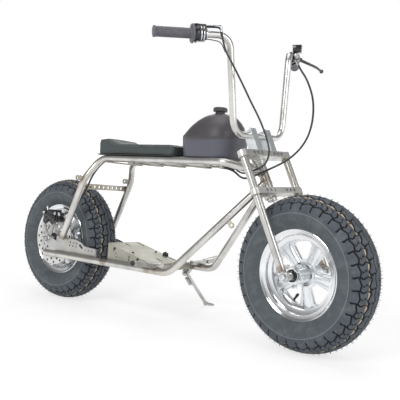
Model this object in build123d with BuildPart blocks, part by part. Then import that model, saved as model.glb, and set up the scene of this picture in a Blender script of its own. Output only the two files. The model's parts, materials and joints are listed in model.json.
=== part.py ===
from build123d import *
import os
from math import atan2, cos, degrees, pi, radians, sin, sqrt, tan

# A rolling-chassis minibike, parked on its side stand.
# It is modelled upright and straight: X forward from the rear axle, Y to the rider's left,
# Z up from the ground under the rear wheel. The parked places at the end turn the steering,
# lean the whole bike onto its stand and put the origin in the middle of the footprint.

# Wheels and tyres, for a 130/90-10 tyre on a 10 inch rim
tyre_radius = 244.0
crown_radius = 75.0
crown_centre = tyre_radius - crown_radius
crown_turns = (7.5, 36.0)
tyre_bulge = (197.0, 68.5)
tyre_foot_radius = 142.5
rim_flange_radius = 141.0
rim_half_width = 49.5
rim_flange_thick = 3.5
bead_radius = 127.0
bead_seat = 15.0
bead_slope = 3.0
well_radius = 111.0
well_half_width = 24.0
rim_wall = 4.5
lip_step_radius = 121.0
seat_clearance = 0.3
wheelbase = 1108.0
web_thickness = 19.0
web_middle = 4.0
spoke_count = 5
window_inner_radius = 45.0
window_outer_radius = 101.0
window_angle = 41.0
window_start = 98.0
window_corner = 7.0
hub_radius = 29.0
hub_right = 72.0
hub_left = 60.0
hub_boss_circle = 33.0
hub_boss_radius = 7.0
hub_boss_length = 16.0
hub_bolt_radius = 3.2
hub_bolt_depth = 12.0
hub_recess_radius = 19.0
hub_recess_depth = 4.0
axle_radius = 8.0
running_clearance = 0.2

# Tube sizes
frame_tube = 12.7
fork_tube = 12.7
bar_tube = 11.1

# Frame
rail_height = 576.0
rail_half_width = 85.0
rail_front = 830.0
rail_rear = 256.0
stay_bend = (215.0, 493.0)
stay_foot = (110.0, 258.0)
rail_rear_bend_radius = 55.0
rail_front_bend_radius = 45.0
stay_bend_radius = 120.0
lower_half_width = 127.0
lower_rear = (14.0, 192.0)
lower_front = (661.0, 193.0)
lower_bend_radius = 62.0
neck_mark = (915.0, 22.0, 483.0)
neck_reach = 45.0
rail_neck = (926.0, 4.5, 549.0)

# Steering head and fork
rake = 26.0
fork_offset = 27.9
leg_half_width = 111.0
leg_foot = 20.0
leg_top = 416.0
lower_clamp_middle = 274.0
upper_clamp_middle = 403.0
clamp_height = 20.0
clamp_plate = 5.0
clamp_half_depth = 17.0
leg_boss_radius = 17.5
stem_boss_radius = 23.0
stem_radius = 12.0
stem_nut_radius = 16.0
stem_nut_height = 11.0
head_tube_radius = 17.0
head_cup_radius = 21.0
head_cup_height = 9.0
head_gap = 0.5
web_hole_radius = 5.5
web_hole_places = (32.0, 52.0, 72.0)
dropout_thick = 9.0
dropout_radius = 17.0
axle_head_radius = 11.0
axle_head_height = 8.0
spacer_radius = 13.0

# Handlebar
bar_height = 470.0
bar_riser_foot = 125.0
bar_riser_head = (5.0, 156.0, 301.0)
bar_end = (125.0, 362.0, 291.0)
bar_foot_radius = 48.0
bar_head_radius = 42.0
bar_clamp_middle = 37.0
bar_clamp_width = 27.0
bar_clamp_depth = 34.0
bar_cap_height = 20.0
bar_clamp_split = 1.6
grip_length = 116.0
grip_radius = 16.0
grip_end_radius = 18.0
grip_flange_radius = 30.0
grip_flange_thick = 5.0
housing_length = 38.0
housing_half = 20.0
elbow_radius = 4.0
master_length = 52.0
lever_boss = 7.0

# Seat and tank
rail_top_gap = 0.3
seat_base_thick = 4.0
seat_rear = 236.0
seat_front = 620.0
seat_half_width = 98.0
seat_height = 35.0
seat_hump_height = 25.0
seat_hump_length = 95.0
seat_corner = 16.0
tank_rear = 624.0
tank_front = 828.0
cap_place = 738.0

# Brake
disc_radius = 104.0
disc_thick = 4.0
disc_inner_radius = 24.0
disc_hole_rings = ((82.0, 0.0), (95.0, 10.0))
disc_hole_count = 15
disc_hole_radius = 3.2
caliper_place = 0.0
caliper_height = 94.0
caliper_length = 80.0
caliper_depth = 44.0
caliper_inner_thick = 12.0
caliper_bracket_thick = 5.0
pad_gap = 2.0

# Rear axle plates
plate_thick = 6.0
rear_axle_reach = 134.0
axle_eye_radius = 17.0
plate_hole_radius = 3.2
axle_plate_outline = (
    (62.0, 186.0),
    (288.0, 186.0),
    (288.0, 232.0),
    (226.0, 236.0),
    (206.0, 249.0),
    (178.0, 256.0),
    (62.0, 262.0),
)
axle_arm_outline = (
    (-10.0, 231.0),
    (66.0, 212.0),
    (66.0, 240.0),
    (6.0, 260.0),
)
axle_plate_holes = (
    (146.0, 245.0),
    (164.0, 244.0),
    (182.0, 243.0),
    (143.0, 232.0),
    (161.0, 231.0),
    (179.0, 230.0),
    (232.0, 224.0),
    (250.0, 223.0),
    (268.0, 222.0),
)
axle_plate_slot = (206.0, 234.0)

# Foot pegs
peg_place = 606.0
peg_length = 100.0
peg_depth = 30.0
peg_height = 19.0
peg_tilt = 7.0
peg_block_height = 14.0
peg_block_inner = {"right": 100.0, "left": 70.0}
peg_block_outer = 146.0
peg_notches = 7
peg_notch_pitch = 12.5
peg_notch_depth = 2.5

# Engine plate
engine_rear = (355.0, 264.0)
engine_front = (572.0, 213.0)
tray_left = 44.0
tray_thick = 5.0
tray_foot = 184.0
tray_member_top = 206.0
tray_slot_middle = -5.0
tray_slot_pitch = 162.0
tray_slot_spread = 72.0
tray_slot_run = 26.0
tray_slot_width = 9.0
tray_holes = (
    (384.0, 238.0),
    (396.0, 230.0),
    (400.0, 217.0),
    (414.0, 217.0),
    (430.0, 215.0),
)
tray_flange_slot = (464.0, 218.0)

# Side stand
lean = 8.0
rest_steer = -6.2
stand_pivot = (550.0, 108.0, 170.0)
stand_foot = (560.0, 232.0)
stand_rod = 6.5
stand_pad_radius = 9.0
stand_pin_radius = 6.0

# Free cables as they hang with the steering at rest: points of each route, by hand
throttle_diameter = 6.0
hose_diameter = 7.0
throttle_route = [
    (873, -205, 962),
    (881, -199, 916),
    (900, -182, 876),
    (912, -158, 839),
    (922, -131, 801),
    (931, -106, 764),
    (943, -81, 727),
    (954, -62, 690),
    (963, -44, 650),
    (967, -31, 612),
    (957, -36, 573),
    (931, -50, 556),
    (900, -51, 543),
    (868, -46, 544),
    (842, -52, 564),
    (817, -57, 571),
]
hose_route = [
    (899, 214, 962),
    (912, 217, 934),
    (938, 218, 902),
    (961, 212, 864),
    (981, 203, 822),
    (994, 189, 776),
    (1003, 168, 729),
    (1006, 140, 681),
    (1001, 106, 641),
    (992, 66, 608),
    (979, 26, 583),
    (959, -12, 562),
    (930, -36, 542),
    (898, -39, 527),
    (866, -35, 528),
    (841, -41, 550),
    (817.6, -46, 559),
]
brake_line_route = [
    (800.2, -52, 563),
    (770, -63, 570),
    (266, -64, 571),
    (240, -76, 548),
    (222, -96, 505),
    (206, -104, 455),
    (165, -104, 400),
    (110, -98, 357),
    (40.6, -91, 345),
]

frame_pieces = []
steering_pieces = []
front_wheel_pieces = []
rear_wheel_pieces = []
stand_pieces = []
rear_axle_place = Location((0, 0, tyre_radius))
front_axle_place = Location((wheelbase, 0, tyre_radius))
rake_sin = sin(radians(rake))
rake_cos = cos(radians(rake))
axis_foot = Vector(wheelbase - fork_offset * rake_cos, 0, tyre_radius - fork_offset * rake_sin)
steer_plane = Plane(origin=axis_foot, x_dir=(rake_cos, 0, rake_sin), z_dir=(-rake_sin, 0, rake_cos))
head_bottom = lower_clamp_middle + clamp_height / 2 + head_gap
head_top = upper_clamp_middle - clamp_height / 2 - head_gap
rail_top = rail_height + frame_tube
seat_floor = rail_top + rail_top_gap


def keep(builder, label, group):
    """Labels a finished piece and files it with the pieces that it moves with."""
    builder.part.label = label
    group.append(builder.part)


def tube_path(points, radii):
    """Gives a line of straight runs joined by tangent arcs."""
    with BuildLine() as path:
        FilletPolyline(*points, radius=radii)
    return path


def tube_end(path):
    """Gives the plane square to a path at its start."""
    return Plane(origin=path.line @ 0, z_dir=path.line % 0)


# Places of the parked bike: the steering turned, and the whole bike leaning
steer_place = steer_plane.location * Location((0, 0, 0), (0, 0, rest_steer)) * steer_plane.location.inverse()
lean_place = Location((0, 0, 0), (-lean, 0, 0))


def placed_point(place, point):
    """Gives a point of the upright bike as it lies after a place is applied."""
    return (place * Location(point)).position


# Wheel castings and tyres, one of each for both axles
rim_corners = [
    (rim_flange_radius, rim_half_width),
    (rim_flange_radius, rim_half_width - rim_flange_thick),
    (bead_radius, rim_half_width - rim_flange_thick - bead_slope),
    (bead_radius, rim_half_width - rim_flange_thick - bead_slope - bead_seat),
    (well_radius, well_half_width),
]
lip_corners = [
    (well_radius - rim_wall, well_half_width + rim_wall),
    (lip_step_radius, rim_half_width - rim_flange_thick - bead_slope - bead_seat + rim_wall),
    (lip_step_radius + 1, rim_half_width - 8),
    (rim_flange_radius - rim_flange_thick, rim_half_width),
]
rim_outline = rim_corners + [(r, -y) for r, y in reversed(rim_corners)]
rim_outline += [(r, -y) for r, y in reversed(lip_corners)] + lip_corners

with BuildSketch() as window:
    half = window_angle / 2
    inner_half = half * 0.62
    with BuildLine():
        CenterArc((0, 0), window_outer_radius, -half, 2 * half)
        CenterArc((0, 0), window_inner_radius, -inner_half, 2 * inner_half)
        for turn, inner_turn in ((-half, -inner_half), (half, inner_half)):
            Line(
                Vector(window_outer_radius, 0).rotate(Axis.Z, turn),
                Vector(window_inner_radius, 0).rotate(Axis.Z, inner_turn),
            )
    make_face()
    fillet(window.vertices(), window_corner)

for end, place, group in (
    ("front", front_axle_place, front_wheel_pieces),
    ("rear", rear_axle_place, rear_wheel_pieces),
):
    with BuildPart() as casting:
        with BuildSketch(Plane.XY):
            with BuildLine():
                Polyline(*rim_outline, close=True)
            make_face()
        revolve(axis=Axis.Y)
        with BuildSketch(Plane.XZ.offset(-web_middle - web_thickness / 2)):
            Circle(well_radius - rim_wall / 2)
        extrude(amount=web_thickness)
        with BuildSketch(Plane.XZ.offset(-web_middle - web_thickness / 2)):
            with PolarLocations(0, spoke_count, start_angle=window_start):
                add(window.sketch)
        extrude(amount=web_thickness, mode=Mode.SUBTRACT)
        with BuildSketch(Plane.XZ.offset(-hub_left)):
            Circle(hub_radius)
        extrude(amount=hub_left + hub_right)
        with BuildSketch(Plane.XZ.offset(hub_right - hub_boss_length)):
            with PolarLocations(hub_boss_circle, spoke_count):
                Circle(hub_boss_radius)
        extrude(amount=hub_boss_length)
        with BuildSketch(Plane.XZ.offset(hub_right)):
            Circle(hub_recess_radius)
        extrude(amount=-hub_recess_depth, mode=Mode.SUBTRACT)
        with BuildSketch(Plane.XZ.offset(hub_right)):
            with PolarLocations(hub_boss_circle, spoke_count):
                Circle(hub_bolt_radius)
        extrude(amount=-hub_bolt_depth, mode=Mode.SUBTRACT)
        with BuildSketch(Plane.XZ.offset(hub_right)):
            Circle(axle_radius + running_clearance)
        extrude(amount=-(hub_left + hub_right), mode=Mode.SUBTRACT)
    casting.part = casting.part.moved(place)
    keep(casting, f"{end}_wheel_casting", group)

    with BuildPart() as tyre:
        foot = rim_half_width - rim_flange_thick - seat_clearance
        tyre_side = [
            (crown_centre + crown_radius * cos(radians(turn)), crown_radius * sin(radians(turn)))
            for turn in crown_turns
        ]
        tyre_side += [tyre_bulge, (tyre_foot_radius, foot), (bead_radius + seat_clearance, foot - bead_slope)]
        with BuildSketch(Plane.XY):
            with BuildLine():
                Polyline(*tyre_side, *[(r, -y) for r, y in reversed(tyre_side)], close=True)
            make_face()
        revolve(axis=Axis.Y)
    tyre.part = tyre.part.moved(place)
    keep(tyre, f"{end}_tyre", group)

# Drilled brake disc, bolted to the right face of the rear hub
with BuildPart() as brake_disc:
    with BuildSketch(Plane.XZ.offset(hub_right)):
        Circle(disc_radius)
        Circle(disc_inner_radius, mode=Mode.SUBTRACT)
        with PolarLocations(58, 6, start_angle=15):
            SlotCenterToCenter(17, 15, rotation=90, mode=Mode.SUBTRACT)
        with PolarLocations(58, 6, start_angle=45):
            SlotCenterToCenter(12, 11, mode=Mode.SUBTRACT)
        for radius, start in disc_hole_rings:
            with PolarLocations(radius, disc_hole_count, start_angle=start):
                Circle(disc_hole_radius, mode=Mode.SUBTRACT)
        with PolarLocations(hub_boss_circle, spoke_count):
            Circle(hub_bolt_radius, mode=Mode.SUBTRACT)
    extrude(amount=disc_thick)
brake_disc.part = brake_disc.part.moved(rear_axle_place)
keep(brake_disc, "brake_disc", rear_wheel_pieces)

# Chain sprocket on the left end of the rear hub
sprocket_teeth = 40
sprocket_pitch = 12.7
sprocket_thick = 5.0
sprocket_radius = sprocket_pitch / 2 / sin(pi / sprocket_teeth)
sprocket_outline = []
for tooth in range(sprocket_teeth):
    for share, reach in ((-0.16, 3.6), (0.16, 3.6), (0.36, -3.4), (0.64, -3.4)):
        angle = 2 * pi * (tooth + share) / sprocket_teeth
        sprocket_outline.append(((sprocket_radius + reach) * cos(angle), (sprocket_radius + reach) * sin(angle)))
with BuildPart() as sprocket:
    with BuildSketch(Plane.XZ.offset(-hub_left)):
        with BuildLine():
            Polyline(*sprocket_outline, close=True)
        make_face()
        Circle(disc_inner_radius, mode=Mode.SUBTRACT)
        with PolarLocations(52, spoke_count):
            Circle(13, mode=Mode.SUBTRACT)
    extrude(amount=-sprocket_thick)
sprocket.part = sprocket.part.moved(rear_axle_place)
keep(sprocket, "rear_sprocket", rear_wheel_pieces)

# Head tube with its two bearing cups
with BuildPart() as head_tube:
    with BuildSketch(steer_plane.offset(head_bottom)):
        Circle(head_cup_radius)
    extrude(amount=head_cup_height)
    with BuildSketch(steer_plane.offset(head_bottom)):
        Circle(head_tube_radius)
    extrude(amount=head_top - head_bottom)
    with BuildSketch(steer_plane.offset(head_top - head_cup_height)):
        Circle(head_cup_radius)
    extrude(amount=head_cup_height)
    with BuildSketch(steer_plane.offset(head_bottom)):
        Circle(stem_radius + running_clearance)
    extrude(amount=head_top - head_bottom, mode=Mode.SUBTRACT)
keep(head_tube, "head_tube", frame_pieces)

neck_run = Vector(*neck_mark) - Vector(lower_front[0], lower_half_width, lower_front[1])
neck_end = Vector(*neck_mark) + neck_run.normalized() * neck_reach
lower_slope = (lower_rear[1] - lower_front[1]) / (lower_front[0] - lower_rear[0])
peg_seat = lower_front[1] + lower_slope * (lower_front[0] - peg_place) + frame_tube + lower_slope * peg_depth
peg_block_middle = peg_seat + peg_block_height / 2
plate_outer = lower_half_width - frame_tube
plate_inner = plate_outer - plate_thick

# Outside of the head tube, which the frame tubes are cut to
with BuildPart() as head_envelope:
    with BuildSketch(steer_plane.offset(head_bottom)):
        Circle(head_tube_radius)
    extrude(amount=head_top - head_bottom)
    for level in (head_bottom, head_top - head_cup_height):
        with BuildSketch(steer_plane.offset(level)):
            Circle(head_cup_radius)
        extrude(amount=head_cup_height)

upper_tubes = {}
lower_tubes = {}
for name, side in (("right", -1), ("left", 1)):
    upper_path = tube_path(
        [
            (stay_foot[0], side * lower_half_width, stay_foot[1]),
            (stay_bend[0], side * lower_half_width, stay_bend[1]),
            (rail_rear, side * rail_half_width, rail_height),
            (rail_front, side * rail_half_width, rail_height),
            (rail_neck[0], side * rail_neck[1], rail_neck[2]),
        ],
        [stay_bend_radius, rail_rear_bend_radius, rail_front_bend_radius],
    )
    with BuildPart() as upper_tube:
        with BuildSketch(tube_end(upper_path)):
            Circle(frame_tube)
        sweep(path=upper_path.line)
        add(head_envelope.part, mode=Mode.SUBTRACT)
    keep(upper_tube, f"frame_upper_{name}", frame_pieces)
    upper_tubes[name] = upper_tube.part

    lower_path = tube_path(
        [
            (lower_rear[0], side * lower_half_width, lower_rear[1]),
            (lower_front[0], side * lower_half_width, lower_front[1]),
            (neck_end.X, side * neck_end.Y, neck_end.Z),
        ],
        [lower_bend_radius],
    )
    with BuildPart() as lower_tube:
        with BuildSketch(tube_end(lower_path)):
            Circle(frame_tube)
        sweep(path=lower_path.line)
        add(head_envelope.part, mode=Mode.SUBTRACT)
    keep(lower_tube, f"frame_lower_{name}", frame_pieces)
    lower_tubes[name] = lower_tube.part

    # Axle plate, welded to the inside of the lower tube and of the stay, with an eye for the axle
    with BuildPart() as axle_plate:
        with BuildSketch(Plane.XZ.offset(-side * plate_outer)):
            with BuildLine():
                Polyline(*axle_plate_outline, close=True)
            make_face()
            with BuildLine():
                Polyline(*axle_arm_outline, close=True)
            make_face()
            with Locations((0, tyre_radius)):
                Circle(axle_eye_radius)
                Circle(axle_radius, mode=Mode.SUBTRACT)
            with Locations(*axle_plate_holes):
                Circle(plate_hole_radius, mode=Mode.SUBTRACT)
            with Locations(axle_plate_slot):
                SlotCenterToCenter(18, 9, rotation=-32, mode=Mode.SUBTRACT)
        extrude(amount=side * plate_thick)
    keep(axle_plate, f"axle_plate_{name}", frame_pieces)

    # Folding foot peg, tilted a little up, with its hinge block on top of the lower tube
    with BuildPart() as footpeg:
        with BuildSketch(Plane.XZ.offset(-side * peg_block_inner[name])):
            with Locations((peg_place, peg_block_middle)):
                RectangleRounded(peg_depth - 8, peg_block_height, 2)
        extrude(amount=-side * (peg_block_outer - peg_block_inner[name]))
        peg_plane = Plane(
            origin=(peg_place, side * peg_block_outer, peg_block_middle),
            x_dir=(1, 0, 0),
            z_dir=(0, side * cos(radians(peg_tilt)), sin(radians(peg_tilt))),
        )
        with BuildSketch(peg_plane):
            RectangleRounded(peg_depth, peg_height, 3)
        extrude(amount=peg_length)
        with BuildSketch(peg_plane.offset(peg_length)):
            Circle(peg_height / 2 - 1)
        extrude(amount=3)
        for notch in range(peg_notches):
            with BuildSketch(peg_plane.offset(peg_notch_pitch * (notch + 0.8))):
                for edge in (-1, 1):
                    with Locations((0, edge * peg_height / 2)):
                        Rectangle(peg_depth, peg_notch_depth * 2)
            extrude(amount=peg_notch_pitch / 2, mode=Mode.SUBTRACT)
    keep(footpeg, f"footpeg_{name}", frame_pieces)

# Perforated cross bracket between the stays
bracket_height = 465.0
bracket_set_back = 15.0
stay_slope = (stay_bend[0] - stay_foot[0]) / (stay_bend[1] - stay_foot[1])
bracket_place = stay_foot[0] + stay_slope * (bracket_height - stay_foot[1]) - bracket_set_back
bracket_half = lower_half_width + 4
with BuildPart() as cross_bracket:
    with BuildSketch(Plane.YZ.offset(bracket_place)):
        with Locations((0, bracket_height)):
            Rectangle(2 * bracket_half, 22)
            with GridLocations(24, 0, 9, 1):
                Circle(6, mode=Mode.SUBTRACT)
    extrude(amount=5)
    for name in ("right", "left"):
        add(upper_tubes[name], mode=Mode.SUBTRACT)
keep(cross_bracket, "rear_cross_bracket", frame_pieces)

# Mounting straps across the two top rails, under the seat and under the tank
strap_drop = rail_height - frame_tube
strap_places = [seat_rear + 64, seat_rear + 174, seat_rear + 284, tank_rear + 16, tank_rear + 136]
strap_width = 26.0
strap_thick = 4.0
strap_hole_radius = 5.0
with BuildPart() as straps:
    for place in strap_places:
        with BuildSketch(Plane.XY.offset(strap_drop)):
            with Locations((place, 0)):
                Rectangle(strap_width, 2 * rail_half_width)
                with GridLocations(0, rail_half_width / 2, 1, 3):
                    Circle(strap_hole_radius, mode=Mode.SUBTRACT)
        extrude(amount=-strap_thick)
keep(straps, "rail_straps", frame_pieces)

# Slanted engine plate: a slotted top with a side flange each way, on two cross members
tray_right = lower_half_width - frame_tube
with BuildPart() as engine_plate:
    with BuildSketch(Plane.XZ.offset(tray_right)):
        with BuildLine():
            Polyline(
                engine_rear,
                engine_front,
                (engine_front[0], engine_front[1] - tray_thick),
                (engine_rear[0], engine_rear[1] - tray_thick),
                close=True,
            )
        make_face()
    extrude(amount=-tray_right - tray_left)
    for flange in (tray_right, tray_thick - tray_left):
        with BuildSketch(Plane.XZ.offset(flange)):
            with BuildLine():
                Polyline(
                    (engine_rear[0], engine_rear[1] - tray_thick / 2),
                    (engine_front[0], engine_front[1] - tray_thick / 2),
                    (engine_front[0], tray_foot),
                    (engine_rear[0] + 34, tray_foot),
                    (engine_rear[0], tray_foot + 20),
                    close=True,
                )
            make_face()
            with Locations(*tray_holes):
                Circle(plate_hole_radius, mode=Mode.SUBTRACT)
            with Locations(tray_flange_slot):
                SlotCenterToCenter(12, 9, rotation=90, mode=Mode.SUBTRACT)
        extrude(amount=-tray_thick)
    for place in (engine_rear[0] + 40, engine_front[0] - tray_thick):
        with BuildSketch(Plane.YZ.offset(place)):
            with Locations((0, (tray_member_top + tray_foot) / 2)):
                Rectangle(2 * tray_right, tray_member_top - tray_foot)
        extrude(amount=tray_thick)
    tray_middle = (engine_rear[0] + engine_front[0]) / 2
    tray_top = Plane(
        origin=(tray_middle, tray_slot_middle, (engine_rear[1] + engine_front[1]) / 2),
        x_dir=(engine_front[0] - engine_rear[0], 0, engine_front[1] - engine_rear[1]),
        z_dir=(engine_rear[1] - engine_front[1], 0, engine_front[0] - engine_rear[0]),
    )
    with BuildSketch(tray_top):
        with GridLocations(tray_slot_pitch, tray_slot_spread, 2, 2):
            SlotCenterToCenter(tray_slot_run, tray_slot_width)
    extrude(amount=-tray_thick * 1.5, mode=Mode.SUBTRACT)
keep(engine_plate, "engine_plate", frame_pieces)

# Seat base, cushion, tank and cap
with BuildPart() as seat_base:
    with BuildSketch(Plane.XY.offset(seat_floor)):
        with Locations(((seat_rear + seat_front) / 2, 0)):
            RectangleRounded(seat_front - seat_rear, 2 * seat_half_width - 8, seat_corner)
    extrude(amount=seat_base_thick)
keep(seat_base, "seat_base", frame_pieces)

with BuildPart() as cushion:
    cushion_floor = seat_floor + seat_base_thick + seat_clearance
    with BuildSketch(Plane.XZ.offset(-seat_half_width)):
        with BuildLine():
            Polyline(
                (seat_rear, cushion_floor),
                (seat_front, cushion_floor),
                (seat_front, cushion_floor + seat_height),
                (seat_rear + seat_hump_length, cushion_floor + seat_height),
                (seat_rear + 12, cushion_floor + seat_height + seat_hump_height),
                (seat_rear, cushion_floor + seat_height + seat_hump_height - 8),
                close=True,
            )
        make_face()
    extrude(amount=2 * seat_half_width)
    fillet(cushion.edges().filter_by(Axis.Z), seat_corner)
keep(cushion, "seat_cushion", frame_pieces)

tank_floor = seat_floor
# Tank sections: height over the floor, rear inset, front inset, half width, corner radius
tank_sections = (
    (0.0, 7.0, 7.0, 90.0, 36.0),
    (71.0, 0.0, 0.0, 97.0, 42.0),
    (112.0, 34.0, 9.0, 83.0, 42.0),
    (154.0, 78.0, 40.0, 44.0, 36.0),
)


def tank_outline(rear, front, half_width, corner):
    """Gives a level outline of the tank, its corners turned in flats of 30 degrees."""
    corners = (
        (front - corner, half_width - corner, 0),
        (rear + corner, half_width - corner, 90),
        (rear + corner, corner - half_width, 180),
        (front - corner, corner - half_width, 270),
    )
    outline = []
    for x, y, start in corners:
        for turn in (0, 30, 60, 90):
            angle = radians(start + turn)
            outline.append((x + corner * cos(angle), y + corner * sin(angle)))
    return outline


with BuildPart() as tank:
    for low, high in ((0, 2), (1, 4)):
        for height, rear, front, half_width, corner in tank_sections[low:high]:
            with BuildSketch(Plane.XY.offset(tank_floor + height)):
                with BuildLine():
                    Polyline(*tank_outline(tank_rear + rear, tank_front - front, half_width, corner), close=True)
                make_face()
        loft(ruled=True)
tank_height = tank_sections[-1][0]
keep(tank, "fuel_tank", frame_pieces)

with BuildPart() as cap:
    with BuildSketch(Plane.XY.offset(tank_floor + tank_height)):
        with Locations((cap_place, 0)):
            Circle(17)
    extrude(amount=9)
    with BuildSketch(Plane.XY.offset(tank_floor + tank_height + 9)):
        with Locations((cap_place, 0)):
            Circle(24)
            with PolarLocations(24.5, 10):
                Circle(2.2, mode=Mode.SUBTRACT)
    extrude(amount=16)
keep(cap, "tank_cap", frame_pieces)

# Rear axle with its spacers and nuts, and the caliper on its bracket
disc_face = hub_right + disc_thick
with BuildPart() as rear_axle:
    with BuildSketch(Plane.XZ.offset(-rear_axle_reach)):
        Circle(axle_radius)
    extrude(amount=2 * rear_axle_reach)
    for start, end in (
        (disc_face + head_gap, plate_inner),
        (-plate_inner, -(hub_left + sprocket_thick + head_gap)),
    ):
        with BuildSketch(Plane.XZ.offset(start)):
            Circle(spacer_radius)
        extrude(amount=end - start)
    for start in (plate_outer, -plate_outer - axle_head_height):
        with BuildSketch(Plane.XZ.offset(start)):
            RegularPolygon(axle_head_radius + 3, 6)
        extrude(amount=axle_head_height)
rear_axle.part = rear_axle.part.moved(rear_axle_place)
keep(rear_axle, "rear_axle", frame_pieces)

bracket_face = plate_inner - caliper_bracket_thick
with BuildPart() as caliper_bracket:
    with BuildSketch(Plane.XZ.offset(bracket_face)):
        with BuildLine():
            Polyline(
                (-18, tyre_radius - 4),
                (18, tyre_radius - 4),
                (38, tyre_radius + 70),
                (36, tyre_radius + 100),
                (-36, tyre_radius + 100),
                (-34, tyre_radius + 66),
                close=True,
            )
        make_face()
        with Locations((-22, tyre_radius + 88), (24, tyre_radius + 88)):
            Circle(hub_bolt_radius, mode=Mode.SUBTRACT)
        with Locations((2, tyre_radius + 52)):
            SlotCenterToCenter(22, 13, rotation=80, mode=Mode.SUBTRACT)
        with Locations((0, tyre_radius)):
            Circle(spacer_radius + 7)
            Circle(spacer_radius + running_clearance, mode=Mode.SUBTRACT)
    extrude(amount=caliper_bracket_thick)
keep(caliper_bracket, "caliper_bracket", frame_pieces)

# Two-piston caliper: a half on each side of the disc and a bridge outside its rim
caliper_outer = disc_face + pad_gap
caliper_inner = hub_right - pad_gap
with BuildPart() as caliper:
    with BuildSketch(Plane.XZ.offset(caliper_outer)):
        with Locations((caliper_place, tyre_radius + caliper_height)):
            RectangleRounded(caliper_length, caliper_depth, 12)
    extrude(amount=bracket_face - caliper_outer)
    with BuildSketch(Plane.XZ.offset(caliper_inner)):
        with Locations((caliper_place, tyre_radius + caliper_height - 4)):
            RectangleRounded(caliper_length - 10, caliper_depth - 8, 12)
    extrude(amount=-caliper_inner_thick)
    with BuildSketch(Plane.XZ.offset(caliper_outer + 1)):
        with Locations((caliper_place, tyre_radius + disc_radius + 6.5)):
            Rectangle(caliper_length - 28, 9)
    extrude(amount=-disc_thick - 2 * pad_gap - 2)
    with BuildSketch(Plane.XZ.offset(bracket_face)):
        with Locations((-22, tyre_radius + 88), (24, tyre_radius + 88)):
            Circle(hub_bolt_radius)
    extrude(amount=caliper_bracket_thick + 3)
    with BuildSketch(Plane.XZ.offset(plate_inner + 0.3)):
        with Locations((-22, tyre_radius + 88), (24, tyre_radius + 88)):
            RegularPolygon(6, 6)
    extrude(amount=5)
keep(caliper, "brake_caliper", frame_pieces)


def fork_clamp(middle):
    """Makes a channel-shaped fork clamp with a row of holes in its web, on the steering axis."""
    low = middle - clamp_height / 2
    with BuildPart() as clamp:
        with BuildSketch(steer_plane.offset(low)):
            with Locations((fork_offset, 0)):
                Rectangle(2 * clamp_half_depth, 2 * leg_half_width)
            with Locations((fork_offset / 2, 0)):
                Rectangle(fork_offset, 2 * stem_boss_radius)
            Circle(stem_boss_radius)
            with Locations((fork_offset, -leg_half_width), (fork_offset, leg_half_width)):
                Circle(leg_boss_radius)
        extrude(amount=clamp_height)
        with BuildSketch(steer_plane.offset(low + clamp_plate)):
            for side in (-1, 1):
                with Locations((fork_offset - clamp_plate, side * (leg_half_width + stem_boss_radius) / 2)):
                    Rectangle(2 * clamp_half_depth, leg_half_width - stem_boss_radius - leg_boss_radius)
        extrude(amount=clamp_height - 2 * clamp_plate, mode=Mode.SUBTRACT)
        web = Plane(
            origin=steer_plane.from_local_coords((fork_offset + clamp_half_depth, 0, middle)),
            x_dir=(0, 1, 0),
            z_dir=steer_plane.x_dir,
        )
        with BuildSketch(web):
            for place in web_hole_places:
                with Locations((-place, 0), (place, 0)):
                    Circle(min(web_hole_radius, clamp_height / 2 - clamp_plate))
        extrude(amount=-clamp_plate * 1.5, mode=Mode.SUBTRACT)
        with BuildSketch(steer_plane.offset(low)):
            Circle(stem_radius)
            with Locations((fork_offset, -leg_half_width), (fork_offset, leg_half_width)):
                Circle(fork_tube)
        extrude(amount=clamp_height, mode=Mode.SUBTRACT)
    return clamp


lower_clamp = fork_clamp(lower_clamp_middle)
keep(lower_clamp, "lower_fork_clamp", steering_pieces)
upper_clamp = fork_clamp(upper_clamp_middle)
keep(upper_clamp, "upper_fork_clamp", steering_pieces)

with BuildPart() as stem:
    stem_low = lower_clamp_middle - clamp_height / 2
    stem_high = upper_clamp_middle + clamp_height / 2
    with BuildSketch(steer_plane.offset(stem_low - stem_nut_height)):
        Circle(stem_nut_radius)
    extrude(amount=stem_nut_height)
    with BuildSketch(steer_plane.offset(stem_low - stem_nut_height)):
        Circle(stem_radius)
    extrude(amount=stem_high - stem_low + 2 * stem_nut_height)
    with BuildSketch(steer_plane.offset(stem_high)):
        RegularPolygon(stem_nut_radius, 6)
    extrude(amount=stem_nut_height)
keep(stem, "steering_stem", steering_pieces)

for name, side in (("right", -1), ("left", 1)):
    with BuildPart() as leg:
        with BuildSketch(steer_plane.offset(leg_foot)):
            with Locations((fork_offset, side * leg_half_width)):
                Circle(fork_tube)
        extrude(amount=leg_top - leg_foot)
        tab = Plane(
            origin=steer_plane.from_local_coords((fork_offset, side * leg_half_width, 0)),
            x_dir=steer_plane.x_dir,
            z_dir=(0, -1, 0),
        )
        with BuildSketch(tab.offset(-dropout_thick / 2)):
            Circle(dropout_radius)
            with Locations((0, leg_foot)):
                Rectangle(2 * fork_tube - 4, 2 * leg_foot)
            Circle(axle_radius, mode=Mode.SUBTRACT)
        extrude(amount=dropout_thick)
    keep(leg, f"fork_leg_{name}", steering_pieces)

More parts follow.
